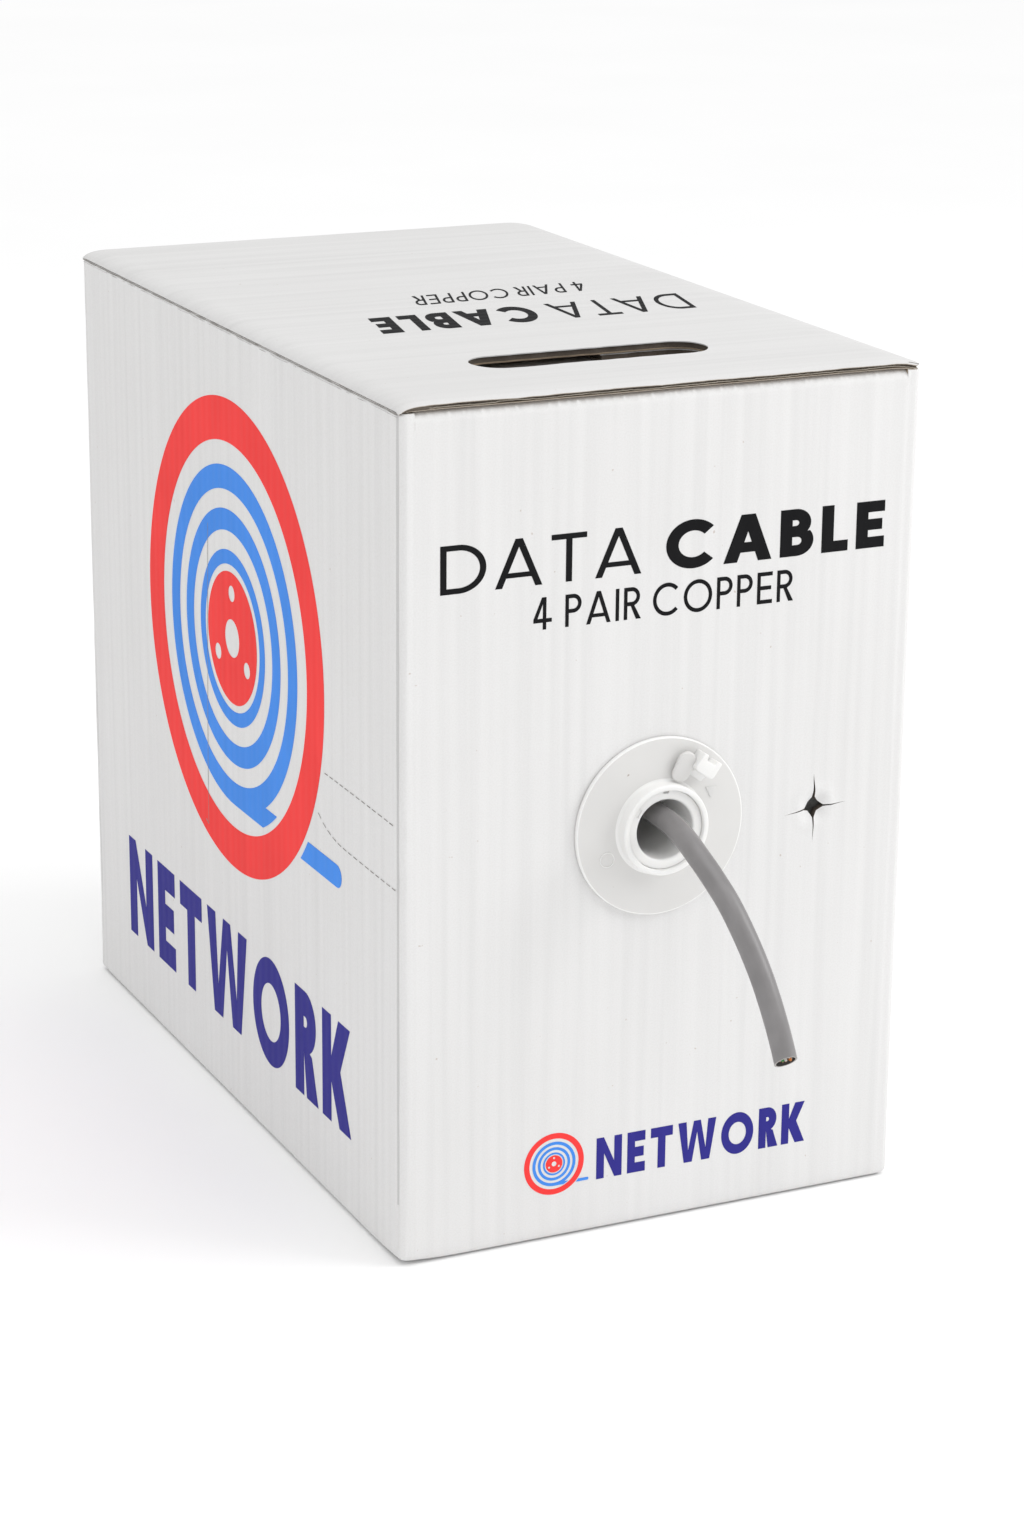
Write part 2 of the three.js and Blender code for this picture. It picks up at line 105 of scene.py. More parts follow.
def make_camera():
    """The camera of the photograph: far off, to the left of the front and a little above the box."""
    azimuth, elevation, roll = (math.radians(a) for a in CAMERA_ANGLES)
    back = Vector((
        math.sin(azimuth) * math.cos(elevation),
        -math.cos(azimuth) * math.cos(elevation),
        math.sin(elevation),
    ))
    right = Vector((0, 0, 1)).cross(back).normalized()
    up = back.cross(right)
    across = math.cos(roll) * right + math.sin(roll) * up
    upward = math.cos(roll) * up - math.sin(roll) * right
    shift_across, shift_up, distance = CAMERA_PLACE
    place = Vector(CAMERA_AIM) + TOP * MM * (shift_across * across + shift_up * upward + distance * back)
    data = bpy.data.cameras.new("camera")
    data.sensor_fit = "AUTO"
    data.sensor_width = 36
    data.lens = CAMERA_LENS
    data.clip_start, data.clip_end = 0.05, 60
    camera = bpy.data.objects.new("camera", data)
    scene.collection.objects.link(camera)
    turn = Matrix((across, upward, back)).transposed().to_4x4()
    camera.matrix_world = Matrix.Translation(place) @ turn
    scene.camera = camera


make_camera()


# ---------------------------------------------------------------- materials


class Shader:
    """A node material being built: each call adds one node and returns its output."""

    def __init__(self, name, roughness, **inputs):
        self.material = bpy.data.materials.new(name)
        self.material.use_nodes = True
        self.tree = self.material.node_tree
        self.surface = self.tree.nodes["Principled BSDF"]
        self.surface.inputs["Roughness"].default_value = roughness
        for key, value in inputs.items():
            self.surface.inputs[key.replace("_", " ")].default_value = value
        self.place = self.add("ShaderNodeTexCoord").outputs["Object"]

    def add(self, kind, **settings):
        node = self.tree.nodes.new(kind)
        for key, value in settings.items():
            setattr(node, key, value)
        return node

    def link(self, source, target):
        self.tree.links.new(source, target)

    def scaled(self, factors):
        node = self.add("ShaderNodeMapping")
        node.inputs["Scale"].default_value = factors
        self.link(self.place, node.inputs["Vector"])
        return node.outputs["Vector"]

    def noise(self, scale, factors=(1, 1, 1), detail=3.0):
        node = self.add("ShaderNodeTexNoise")
        node.inputs["Scale"].default_value = scale
        node.inputs["Detail"].default_value = detail
        self.link(self.scaled(factors), node.inputs["Vector"])
        return node.outputs["Fac"]

    def bands(self, pitch, factors, distortion=0.0):
        """Soft ridges across the direction that factors pick out, a pitch in millimetres apart."""
        node = self.add("ShaderNodeTexWave", wave_type="BANDS", bands_direction="X")
        node.inputs["Scale"].default_value = 2 * math.pi / 20 / (pitch * MM)
        node.inputs["Distortion"].default_value = distortion
        node.inputs["Detail"].default_value = 2
        node.inputs["Detail Scale"].default_value = 0.6
        self.link(self.line(factors), node.inputs["Vector"])
        return node.outputs["Fac"]

    def line(self, factors):
        """The place measured along one direction, as a vector's X, with a little of the rest."""
        split = self.add("ShaderNodeSeparateXYZ")
        self.link(self.place, split.inputs["Vector"])
        total = None
        for name, factor in zip("XYZ", factors):
            if factor:
                value = self.math("MULTIPLY", split.outputs[name], factor)
                total = value if total is None else self.math("ADD", total, value)
        joined = self.add("ShaderNodeCombineXYZ")
        self.link(total, joined.inputs["X"])
        for name in "YZ":
            value = self.math("MULTIPLY", split.outputs[name], 0.15)
            self.link(value, joined.inputs[name])
        return joined.outputs["Vector"]

    def math(self, operation, a, b):
        node = self.add("ShaderNodeMath", operation=operation)
        for socket, value in zip(node.inputs, (a, b)):
            if isinstance(value, (int, float)):
                socket.default_value = value
            else:
                self.link(value, socket)
        return node.outputs[0]

    def ramp(self, source, stops):
        node = self.add("ShaderNodeValToRGB")
        ramp = node.color_ramp
        while len(ramp.elements) < len(stops):
            ramp.elements.new(0.5)
        for element, (at, colour) in zip(ramp.elements, stops):
            element.position = at
            element.color = (*colour, 1)
        self.link(source, node.inputs["Fac"])
        return node.outputs["Color"]

    def blend(self, kind, first, second, factor):
        node = self.add("ShaderNodeMix", data_type="RGBA", blend_type=kind)
        node.inputs["Factor"].default_value = factor
        self.link(first, node.inputs["A"])
        self.link(second, node.inputs["B"])
        return node.outputs["Result"]

    def colour(self, source):
        self.link(source, self.surface.inputs["Base Color"])

    def rough(self, source, least, most):
        node = self.add("ShaderNodeMapRange")
        node.inputs["To Min"].default_value = least
        node.inputs["To Max"].default_value = most
        self.link(source, node.inputs["Value"])
        self.link(node.outputs["Result"], self.surface.inputs["Roughness"])

    def bump(self, *layers):
        """Layers are (height source, strength, depth in millimetres)."""
        normal = None
        for source, strength, depth in layers:
            node = self.add("ShaderNodeBump")
            node.inputs["Strength"].default_value = strength
            node.inputs["Distance"].default_value = depth * MM
            self.link(source, node.inputs["Height"])
            if normal is not None:
                self.link(normal, node.inputs["Normal"])
            normal = node.outputs["Normal"]
        self.link(normal, self.surface.inputs["Normal"])


def grey(value, warm=0.0):
    return (value * (1 + warm), value, value * (1 - warm))


def board_material(name, across, along, tone=0.757, flute_shade_amount=0.008):
    """White facing of corrugated board. Across and along are factors for the place: the direction
    across the flutes and the stretch along them."""
    made = Shader(name, 0.72, Specular_IOR_Level=0.22)
    cloud = made.noise(9, detail=4)
    streaks = made.noise(210, along, detail=5)
    fibres = made.noise(1500, detail=2)
    flutes = made.bands(FLUTE, across, 1.6)
    base = made.ramp(cloud, [(0.3, grey(tone * 0.985, 0.006)), (0.7, grey(tone * 1.015, 0.004))])
    # Lighter and darker bands at the flutes' pitch: painted shade and highlight of the flutes' relief, over
    # the same bump.
    flute_shade = made.ramp(flutes, [(0.1, grey(1 - flute_shade_amount)), (0.55, grey(1.0)), (0.95, grey(1 + flute_shade_amount * 0.5))])
    worn = made.ramp(streaks, [(0.3, grey(0.93)), (0.5, grey(0.995)), (0.7, grey(1.03))])
    paper = made.ramp(fibres, [(0.35, grey(0.965, 0.004)), (0.6, grey(1.01))])
    specks = made.ramp(made.noise(420, detail=1), [(0.165, (0.62, 0.5, 0.42)), (0.2, grey(1.0))])
    shade = made.blend("MULTIPLY", base, worn, 0.6)
    shade = made.blend("MULTIPLY", shade, flute_shade, 1.0)
    shade = made.blend("MULTIPLY", shade, paper, 0.8)
    made.colour(made.blend("MULTIPLY", shade, specks, 0.5))
    made.bump((flutes, 0.2, 0.2), (streaks, 0.28, 0.12), (fibres, 0.12, 0.03))
    return made.material


def ink_material(name, colour, across, along, roughness=0.6):
    """Printing ink, through which the board's flutes and grain still show."""
    made = Shader(name, roughness, Specular_IOR_Level=0.08)
    cloud = made.noise(25, detail=4)
    streaks = made.noise(210, along, detail=5)
    fibres = made.noise(900, detail=2)
    darker = tuple(c * 0.95 for c in colour)
    lighter = tuple(min(1, c * 1.03 + 0.003) for c in colour)
    base = made.ramp(cloud, [(0.3, darker), (0.7, lighter)])
    worn = made.ramp(streaks, [(0.3, grey(0.95)), (0.7, grey(1.02))])
    made.colour(made.blend("MULTIPLY", base, worn, 0.8))
    made.bump((made.bands(FLUTE, across, 1.6), 0.5, 0.2), (streaks, 0.15, 0.1), (fibres, 0.1, 0.03))
    return made.material


def kraft_material(name, tone=(0.36, 0.245, 0.145), scale=1.0):
    made = Shader(name, 0.85, Specular_IOR_Level=0.2)
    cloud = made.noise(30 * scale, detail=5)
    fibres = made.noise(700 * scale, (1, 0.25, 1), detail=3)
    base = made.ramp(cloud, [(0.3, tuple(c * 0.85 for c in tone)), (0.7, tuple(c * 1.12 for c in tone))])
    thread = made.ramp(fibres, [(0.35, grey(0.82)), (0.65, grey(1.08))])
    made.colour(made.blend("MULTIPLY", base, thread, 0.8))
    made.bump((fibres, 0.3, 0.06), (cloud, 0.2, 0.2))
    return made.material


def plastic_material(name, colour, roughness, grain=0.02, subsurface=0.0, specks=0.0):
    made = Shader(name, roughness)
    made.surface.inputs["Subsurface Weight"].default_value = subsurface
    made.surface.inputs["Subsurface Radius"].default_value = (1.0, 0.95, 0.85)
    made.surface.inputs["Subsurface Scale"].default_value = 0.002
    cloud = made.noise(40, detail=3)
    fine = made.noise(900, detail=2)
    darker = tuple(c * 0.965 for c in colour)
    base = made.ramp(cloud, [(0.3, darker), (0.7, colour)])
    if specks:
        dirt = made.ramp(made.noise(330, detail=1), [(0.17, (0.45, 0.33, 0.27)), (0.205, grey(1.0))])
        base = made.blend("MULTIPLY", base, dirt, specks)
    made.colour(base)
    made.rough(made.noise(120, detail=4), roughness * 0.85, roughness * 1.25)
    made.bump((fine, 0.25, grain), (made.noise(160, (1, 1, 0.1), 3), 0.25, 0.05), (cloud, 0.3, 0.1))
    return made.material


def jacket_material():
    """Grey vinyl: a soft sheen, faint lengthwise scuffs and a fine grain."""
    made = Shader("cable_jacket", 0.3, Specular_IOR_Level=0.7)
    cloud = made.noise(70, detail=4)
    scuffs = made.noise(260, (1, 0.35, 0.35), detail=4)
    fine = made.noise(2200, detail=2)
    base = made.ramp(cloud, [(0.3, (0.188, 0.18, 0.181)), (0.7, (0.222, 0.213, 0.214))])
    marks = made.ramp(scuffs, [(0.3, grey(0.9)), (0.55, grey(1.0)), (0.78, grey(1.12))])
    made.colour(made.blend("MULTIPLY", base, marks, 0.7))
    made.rough(scuffs, 0.34, 0.46)
    made.bump((scuffs, 0.2, 0.05), (fine, 0.15, 0.02))
    return made.material


def plywood_material():
    made = Shader("plywood", 0.62, Specular_IOR_Level=0.3)
    rings = made.bands(9, (0, 1, 0.12), 7)
    grain = made.noise(240, (1, 1, 0.06), detail=5)
    base = made.ramp(rings, [(0.2, (0.50, 0.33, 0.17)), (0.8, (0.64, 0.46, 0.27))])
    pores = made.ramp(grain, [(0.35, grey(0.72)), (0.55, grey(1.0))])
    plies = made.ramp(made.bands(1.2, (1, 0, 0)), [(0.35, grey(0.8)), (0.6, grey(1.05))])
    face = made.blend("MULTIPLY", base, pores, 0.6)
    made.colour(made.blend("MULTIPLY", face, plies, 0.35))
    made.bump((grain, 0.3, 0.1),)
    return made.material


def steel_material():
    made = Shader("zinc_steel", 0.3, Metallic=1.0)
    patches = made.noise(90, detail=5)
    drawn = made.noise(500, (0.05, 1, 1), detail=3)
    made.colour(made.ramp(patches, [(0.3, (0.50, 0.53, 0.56)), (0.7, (0.68, 0.69, 0.68))]))
    made.rough(drawn, 0.22, 0.46)
    made.bump((drawn, 0.15, 0.03),)
    return made.material


WALL_ACROSS, WALL_ALONG = (1, 1, 0), (1, 1, 0.02)
TOP_ACROSS, TOP_ALONG = (0, 1, 0), (0.02, 1, 1)
RED = (0.93, 0.056, 0.054)
BLUE = (0.066, 0.275, 0.83)
NAVY = (0.036, 0.032, 0.255)
BLACK = (0.008, 0.008, 0.009)

wall_white = board_material("white_board_wall", WALL_ACROSS, WALL_ALONG)
# A darker copy of the wall board for the scores beside the upright edges: painted shade in their grooves.
score_board_painted_shade = board_material("white_board_score_painted_shade", WALL_ACROSS, WALL_ALONG, 0.60)
# The top's board is the walls' white board with a lower tone: painted shade that holds the lit top down.
top_white_painted_shade = board_material("white_board_top_painted_shade", TOP_ACROSS, TOP_ALONG, 0.685, 0.005)
kraft = kraft_material("kraft_facing", (0.30, 0.235, 0.17))
# The core is far darker than the fluted medium: painted shade in the gap between the facings.
core = kraft_material("board_core_painted_shade", (0.12, 0.10, 0.082), 2.0)
liner_edge = kraft_material("liner_edge", (0.40, 0.35, 0.295), 2.0)
spout_white = plastic_material("spout_white", (0.87, 0.867, 0.855), 0.34, 0.015, 0.12)
spout_sheet = plastic_material("spout_sheet", (0.71, 0.703, 0.69), 0.36, 0.015, 0.1, 0.7)
nylon = plastic_material("black_nylon", (0.028, 0.029, 0.032), 0.42)
jacket = jacket_material()
plywood = plywood_material()
steel = steel_material()


# ---------------------------------------------------------------- making meshes


def mesh_object(name, points, faces, materials, indices=None, angle=35):
    """A mesh object from points in millimetres, smooth except at edges sharper than the angle."""
    mesh = bpy.data.meshes.new(name)
    mesh.from_pydata([Vector(p) * MM for p in points], [], faces)
    for material in materials:
        mesh.materials.append(material)
    if indices:
        mesh.polygons.foreach_set("material_index", indices)
    obj = bpy.data.objects.new(name, mesh)
    scene.collection.objects.link(obj)
    smooth(obj, angle)
    return obj


def smooth(obj, angle):
    mesh = obj.data
    mesh.polygons.foreach_set("use_smooth", [True] * len(mesh.polygons))
    mesh.set_sharp_from_angle(angle=math.radians(angle))
    mesh.update()


def orient(obj):
    """Turns every face of a closed mesh outwards."""
    shape = bmesh.new()
    shape.from_mesh(obj.data)
    bmesh.ops.remove_doubles(shape, verts=shape.verts, dist=1e-7)
    bmesh.ops.recalc_face_normals(shape, faces=shape.faces)
    shape.to_mesh(obj.data)
    shape.free()
    return obj


def settle(obj):
    """Applies the modifiers of an object to its mesh."""
    depsgraph = bpy.context.evaluated_depsgraph_get()
    made = bpy.data.meshes.new_from_object(obj.evaluated_get(depsgraph))
    obj.modifiers.clear()
    old = obj.data
    obj.data = made
    made.name = old.name
    bpy.data.meshes.remove(old)


def discard(obj):
    mesh = obj.data
    bpy.data.objects.remove(obj)
    bpy.data.meshes.remove(mesh)


def carve(obj, tool):
    """Cuts a tool's shape out of an object. The tool is used up."""
    modifier = obj.modifiers.new("carve", "BOOLEAN")
    modifier.operation = "DIFFERENCE"
    modifier.solver = "EXACT"
    modifier.object = tool
    settle(obj)
    discard(tool)


def bevel(obj, width, segments=3, angle=35):
    modifier = obj.modifiers.new("bevel", "BEVEL")
    modifier.width = width * MM
    modifier.segments = segments
    modifier.limit_method = "ANGLE"
    modifier.angle_limit = math.radians(angle)
    settle(obj)
    smooth(obj, 40)
    return obj


def join(name, parts):
    """Several mesh objects as one, keeping each face's material."""
    shape = bmesh.new()
    materials = []
    for part in parts:
        lookup = []
        for material in part.data.materials:
            if material not in materials:
                materials.append(material)
            lookup.append(materials.index(material))
        start = len(shape.faces)
        shape.from_mesh(part.data)
        shape.faces.ensure_lookup_table()
        for face in shape.faces[start:]:
            face.material_index = lookup[face.material_index]
    mesh = bpy.data.meshes.new(name)
    shape.to_mesh(mesh)
    shape.free()
    for material in materials:
        mesh.materials.append(material)
    for part in parts:
        discard(part)
    obj = bpy.data.objects.new(name, mesh)
    scene.collection.objects.link(obj)
    return obj


def prism(name, outline, low_side, high_side, material, place):
    """A closed prism: place turns (a, b, c) into a point, with c along the prism."""
    count = len(outline)
    points = [place(a, b, c) for c in (low_side, high_side) for a, b in outline]
    faces = [tuple(range(count)), tuple(range(2 * count - 1, count - 1, -1))]
    faces += [(i, (i + 1) % count, (i + 1) % count + count, i + count) for i in range(count)]
    return orient(mesh_object(name, points, faces, [material]))


def turned(name, profile, segments, material, place, other=None, band=None):
    """A body of revolution. The profile is (radius, along) and place turns (along, u, v) into a point.
    The other material covers the profile's stretches whose radii lie inside the band."""
    points = []
    for k in range(segments):
        angle = 2 * math.pi * k / segments
        points += [place(h, r * math.cos(angle), r * math.sin(angle)) for r, h in profile]
    count = len(profile)
    faces, indices = [], []
    for k in range(segments):
        here, there = k * count, (k + 1) % segments * count
        for i in range(count):
            j = (i + 1) % count
            faces.append((here + i, here + j, there + j, there + i))
            middle = (profile[i][0] + profile[j][0]) / 2
            indices.append(1 if other and band[0] < middle < band[1] else 0)
    return orient(mesh_object(name, points, faces, [material, other] if other else [material], indices))


def rounded(points, radius, steps=4):
    """A closed outline with each corner rounded. A corner may be (a, b, its own radius)."""
    made = []
    count = len(points)
    for i, point in enumerate(points):
        here = Vector(point[:2])
        before = Vector(points[i - 1][:2]) - here
        after = Vector(points[(i + 1) % count][:2]) - here
        size = point[2] if len(point) > 2 else radius
        if size <= 0:
            made.append(tuple(here))
            continue
        turn = before.angle(after)
        reach = min(size / math.tan(turn / 2), before.length * 0.49, after.length * 0.49)
        size = reach * math.tan(turn / 2)
        start, end = here + before.normalized() * reach, here + after.normalized() * reach
        centre = here + (before.normalized() + after.normalized()).normalized() * (size / math.sin(turn / 2))
        first, last = start - centre, end - centre
        sweep = first.angle_signed(last)
        for k in range(steps + 1):
            made.append(tuple(centre + Matrix.Rotation(-sweep * k / steps, 2) @ first))
    return made


def arc(centre, radius, start, end, steps):
    made = []
    for k in range(steps + 1):
        angle = math.radians(start + (end - start) * k / steps)
        made.append((centre[0] + radius * math.cos(angle), centre[1] + radius * math.sin(angle)))
    return made


def finish_piece(obj, body, slot, *nodes):
    """Rides a piece on its body and hides the nodes it stands for. The slot is not used."""
    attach(obj, body)
    if nodes:
        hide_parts(*nodes)


def jitter(*place):
    """A repeatable number from -1 to 1 for a place."""
    return noise.noise(Vector((*place, 0, 0, 0)[:3]))


# ---------------------------------------------------------------- the cable


def spline(points, step):
    """Points along a smooth curve through the given ones, about a step apart."""
    ends = [2 * Vector(points[0]) - Vector(points[1]), 2 * Vector(points[-1]) - Vector(points[-2])]
    known = [ends[0], *map(Vector, points), ends[1]]
    made = []
    for a, b, c, d in zip(known, known[1:], known[2:], known[3:]):
        count = max(1, round((c - b).length / step))
        for k in range(count):
            t = k / count
            made.append(0.5 * (2 * b + (c - a) * t + (2 * a - 5 * b + 4 * c - d) * t * t
                               + (3 * b - a - 3 * c + d) * t * t * t))
    return [*made, known[-2]]


def frames_along(path):
    """At each point of a path: the point, and two directions square to the path that never twist."""
    side = Vector((1, 0, 0))
    made = []
    for i, point in enumerate(path):
        ahead = (path[min(i + 1, len(path) - 1)] - path[max(i - 1, 0)]).normalized()
        side = (side - side.dot(ahead) * ahead).normalized()
        made.append((point, side, ahead.cross(side)))
    return made


def tube_rings(path, radius, sides):
    points = []
    for point, side, up in frames_along(path):
        for k in range(sides):
            angle = 2 * math.pi * k / sides
            points.append(point + radius * (math.cos(angle) * side + math.sin(angle) * up))
    return points


def ring_faces(rings, sides):
    faces = []
    for i in range(rings - 1):
        for k in range(sides):
            m = (k + 1) % sides
            faces.append((i * sides + k, i * sides + m, (i + 1) * sides + m, (i + 1) * sides + k))
    return faces


def rod(name, path, radius, sides, material, angle=35):
    """A round rod along a path, closed at both ends."""
    points = tube_rings(path, radius, sides)
    caps = [tuple(range(sides)), tuple(range(len(points) - sides, len(points)))]
    faces = ring_faces(len(path), sides) + caps
    return orient(mesh_object(name, points, faces, [material], angle=angle))


def cut_tube(name, path, radius, wall, depth, sides, material, painted_hollow_shade, rim):
    """A jacket whose far end is cut open: its wall shows and its inside goes in by a depth, coloured near
    black as painted shade in the hollow.
    """
    outer = tube_rings(path, radius, sides)
    ahead = (path[-1] - path[-2]).normalized()
    _, side, up = frames_along(path)[-1]
    rings = len(path)
    whole = rings - 1
    for back, r in ((0, radius - wall), (depth, radius - wall), (depth, 0.4)):
        for k in range(sides):
            angle = 2 * math.pi * k / sides
            outer.append(path[-1] - ahead * back + r * (math.cos(angle) * side + math.sin(angle) * up))
        rings += 1
    faces = ring_faces(rings, sides)
    indices = [0] * (whole * sides) + [2] * sides + [1] * (2 * sides) + [0, 1]
    faces.append(tuple(range(sides)))
    faces.append(tuple(range((rings - 1) * sides, rings * sides)))
    return orient(mesh_object(name, outer, faces, [material, painted_hollow_shade, rim], indices, 50))


def slant(obj, path, reach, amount, direction):
    """Draws a cable's cut end out on one side, so that the cut is not quite square."""
    ahead = (path[-1] - path[-2]).normalized()
    lean = Vector(direction)
    lean = (lean - lean.dot(ahead) * ahead).normalized()
    for vertex in obj.data.vertices:
        offset = vertex.co / MM - path[-1]
        along = offset.dot(ahead)
        if along > -reach:
            share = (along + reach) / reach
            vertex.co += ahead * (offset.dot(lean) / CABLE_RADIUS * amount * share * MM)


def make_cable():
    path = spline(TAIL_ROUTE, 2.2)
    # Near black for the inside of the cut end: painted shade in the hollow.
    painted_hollow_shade = plastic_material("jacket_inside_painted_shade", (0.035, 0.03, 0.026), 0.6)
    rim = plastic_material("jacket_cut", (0.34, 0.325, 0.31), 0.5)
    tail = cut_tube("cable_jacket_tail", path, CABLE_RADIUS, 0.7, 3.0, 40, jacket, painted_hollow_shade, rim)
    slant(tail, path, 5, 2.1, (0.155, 0.988, 0))
    finish_piece(tail, "carton", "cable_jacket", "cable_tail")

    ahead = (path[-1] - path[-2]).normalized()
    _, side, up = frames_along(path)[-1]
    inks = {
        "orange": (0.72, 0.22, 0.03), "green": (0.05, 0.32, 0.09),
        "blue": (0.05, 0.14, 0.5), "brown": (0.16, 0.07, 0.03),
    }
    white = plastic_material("core_white", (0.62, 0.61, 0.58), 0.4)
    parts = []

    def strand(name, centre, radius, length, material, sides=16):
        middle = path[-1] + centre[0] * side + centre[1] * up
        line = [middle - ahead * back for back in (SUNK, SUNK - length)]
        parts.append(rod(name, line, radius, sides, material))

    copper = Shader("copper_core", 0.3, Metallic=1.0)
    copper.colour(copper.ramp(copper.noise(900), [(0.3, (0.42, 0.18, 0.09)), (0.7, (0.65, 0.32, 0.18))]))
    for i, (ink, colour) in enumerate(inks.items()):
        angle = math.radians(45 + 90 * i)
        middle = Vector((math.cos(angle), math.sin(angle))) * 2.05
        across = Vector((-math.sin(angle), math.cos(angle))) * 0.58
        tint = plastic_material(f"core_{ink}", colour, 0.4)
        for sign, material in ((1, tint), (-1, white)):
            centre = middle + sign * across
            length = 1.5 + 0.5 * jitter(i * 3.1, sign * 1.7)
            strand("insulation", centre, 0.52, length, material)
            strand("conductor", centre, 0.26, length + 0.25, copper.material, 10)
    cross_arm = [(-3.2, -0.2), (3.2, -0.2), (3.2, 0.2), (-3.2, 0.2)]
    for angle in (0, math.pi / 2):
        a, b = math.cos(angle), math.sin(angle)
        parts.append(prism("filler", cross_arm, 1.4, 3.2, white, lambda p, q, c, a=a, b=b: (
            path[-1] + (p * a - q * b) * side + (p * b + q * a) * up - ahead * c)))
    end = join("cable_cut_end", parts)
    smooth(end, 40)
    finish_piece(end, "carton", "cable_jacket")

    length = sum((b - a).length for a, b in zip(path, path[1:])) * MM
    Vector(TAIL_ROUTE[0]) * MM

    x, start, stop = LEAD_TURN
    radius = WINDING_RADIUS + CABLE_RADIUS + 0.6
    turn = [(x, y, z) for y, z in arc(REEL, radius, 180 - start, 180 - stop, 8)]
    path = spline([*LEAD_ROUTE, *turn], 4)
    lead = rod("cable_jacket_lead", path, CABLE_RADIUS, 24, jacket, 50)
    finish_piece(lead, "carton", "cable_jacket", "cable_lead")


make_cable()


# ---------------------------------------------------------------- the carton's walls


def steps(start, end, size):
    count = max(1, round(abs(end - start) / size))
    return [start + (end - start) * k / count for k in range(count + 1)]


def stations(start, end, coarse, *zones):
    """Places from start to end, a coarse step apart, and closer within each zone (from, to, step)."""
    made, reached = [], min(start, end)
    for near, far, fine in sorted(zones):
        if near > reached:
            made += steps(reached, near, coarse)[:-1]
        made += steps(near, far, fine)[:-1]
        reached = far
    made += steps(reached, max(start, end), coarse)
    return made if start < end else made[::-1]


STAR = (68.0, 164.5)  # the middle of the star cut in the front wall, in X and Z
STAR_ZONE = 17.0
EDGE_ZONE = 7.0
EDGE_STEP = 0.6
SCORE = 3.3  # distance of a side wall's score from the carton's corner
SCORE_WIDTH = 1.9
DUST_HALF = HALF_X - BOARD - 3
INNER_HALF = HALF_Y - BOARD - 12
OUTER_HALF = HALF_Y - 1.8  # half the lengths of the flaps' folds, and the heights where they start
SIDE_RIM = INNER_HINGE - 3.5
LEFT_RIM = OUTER_HINGE - 0.9
CORNER_RIM = OUTER_HINGE - 0.7


def ends(reach, *zones):
    """Zones with a fine step at both ends of a wall, besides others."""
    return [(-reach, -reach + EDGE_ZONE, EDGE_STEP), (reach - EDGE_ZONE, reach, EDGE_STEP), *zones]


def folded(reach, fold):
    """The same, with a sharp step where a flap's fold ends inside the end zones."""
    after = fold + 0.05
    near = [(reach - EDGE_ZONE, fold, EDGE_STEP), (fold, after, 0.05), (after, reach, EDGE_STEP)]
    return [*near, *[(-b, -a, fine) for a, b, fine in near]]


def perimeter(inset):
    """Points round the carton, anticlockwise from above, with the height of the wall's rim there."""
    x, y = HALF_X - CORNER, HALF_Y - CORNER
    edge_x, edge_y = HALF_X - inset, HALF_Y - inset
    radius = max(0.05, CORNER - inset)
    star = (STAR[0] - STAR_ZONE, STAR[0] + STAR_ZONE, 1.0)
    dust_folds = folded(x, DUST_HALF)
    inner_folds = [(at - 0.5, at + 0.5, 0.5) for at in (-INNER_HALF - 0.5, INNER_HALF + 0.5)]

    def rim(along, half, height):
        return height if abs(along) <= half + 0.02 else CORNER_RIM

    def corner(u, v, start):
        return [(*p, CORNER_RIM) for p in arc((u, v), radius, start, start + 90, 6)[1:-1]]

    front = [(a, -edge_y, rim(a, DUST_HALF, SIDE_RIM)) for a in stations(-x, x, 7, *dust_folds, star)]
    right = [(edge_x, b, rim(b, INNER_HALF, SIDE_RIM)) for b in stations(-y, y, 12, *ends(y, *inner_folds))]
    back = [(a, edge_y, rim(a, DUST_HALF, SIDE_RIM)) for a in stations(x, -x, 12, *dust_folds)]
    left = [(-edge_x, b, rim(b, OUTER_HALF, LEFT_RIM)) for b in stations(y, -y, 8, *ends(y))]
    made = [*front, *corner(x, -y, -90), *right, *corner(x, y, 0)]
    made += [*back, *corner(-x, y, 90), *left, *corner(-x, -y, 180)]
    return [(min(edge_x, max(-edge_x, a)), min(edge_y, max(-edge_y, b)), height) for a, b, height in made]


def ridge(distance, width):
    """A smooth bump, one high in its middle, that fades out at a distance of its width."""
    return (1 + math.cos(math.pi * min(1, abs(distance) / width))) / 2


def wall_relief(x, y, z):
    """How far the paper stands in from the ideal wall: the score beside each upright edge and the
    soft knocks along the edges."""
    depth = 0.0
    if abs(x) > HALF_X - 0.6:
        sway = 0.35 * jitter(z * 0.02, x, y * 0.01)
        depth += (1.1 + 0.3 * jitter(z * 0.06, x)) * ridge(abs(y) - (HALF_Y - SCORE + sway), SCORE_WIDTH)
    if abs(y) > HALF_Y - 0.6:
        depth += 0.12 * ridge(abs(x) - (HALF_X - 5.2), 1.4)
    if abs(x) > HALF_X - CORNER and abs(y) > HALF_Y - CORNER:
        depth += 0.22 * (1 + jitter(x * 0.05, y * 0.05, z * 0.11)) * min(1, z / 30)
    return depth


def bottom_rows(outer, inner):
    """The rounded foot of the walls, a little crushed at the near left corner."""
    made = []
    for inset, z in ((3.0, 0.15), (1.9, 0.35), (1.0, 0.9), (0.35, 1.9), (0.05, 3.2), (0.0, 6.0)):
        share = inset / BOARD
        row = []
        for (x, y, _), (u, v, _) in zip(outer, inner):
            sag = 1.6 * max(0, 1 - math.hypot(x + HALF_X, (y + HALF_Y) * 0.8) / 26) ** 2
            row.append((x + (u - x) * share, y + (v - y) * share, z + sag))
        made.append(row)
    return made


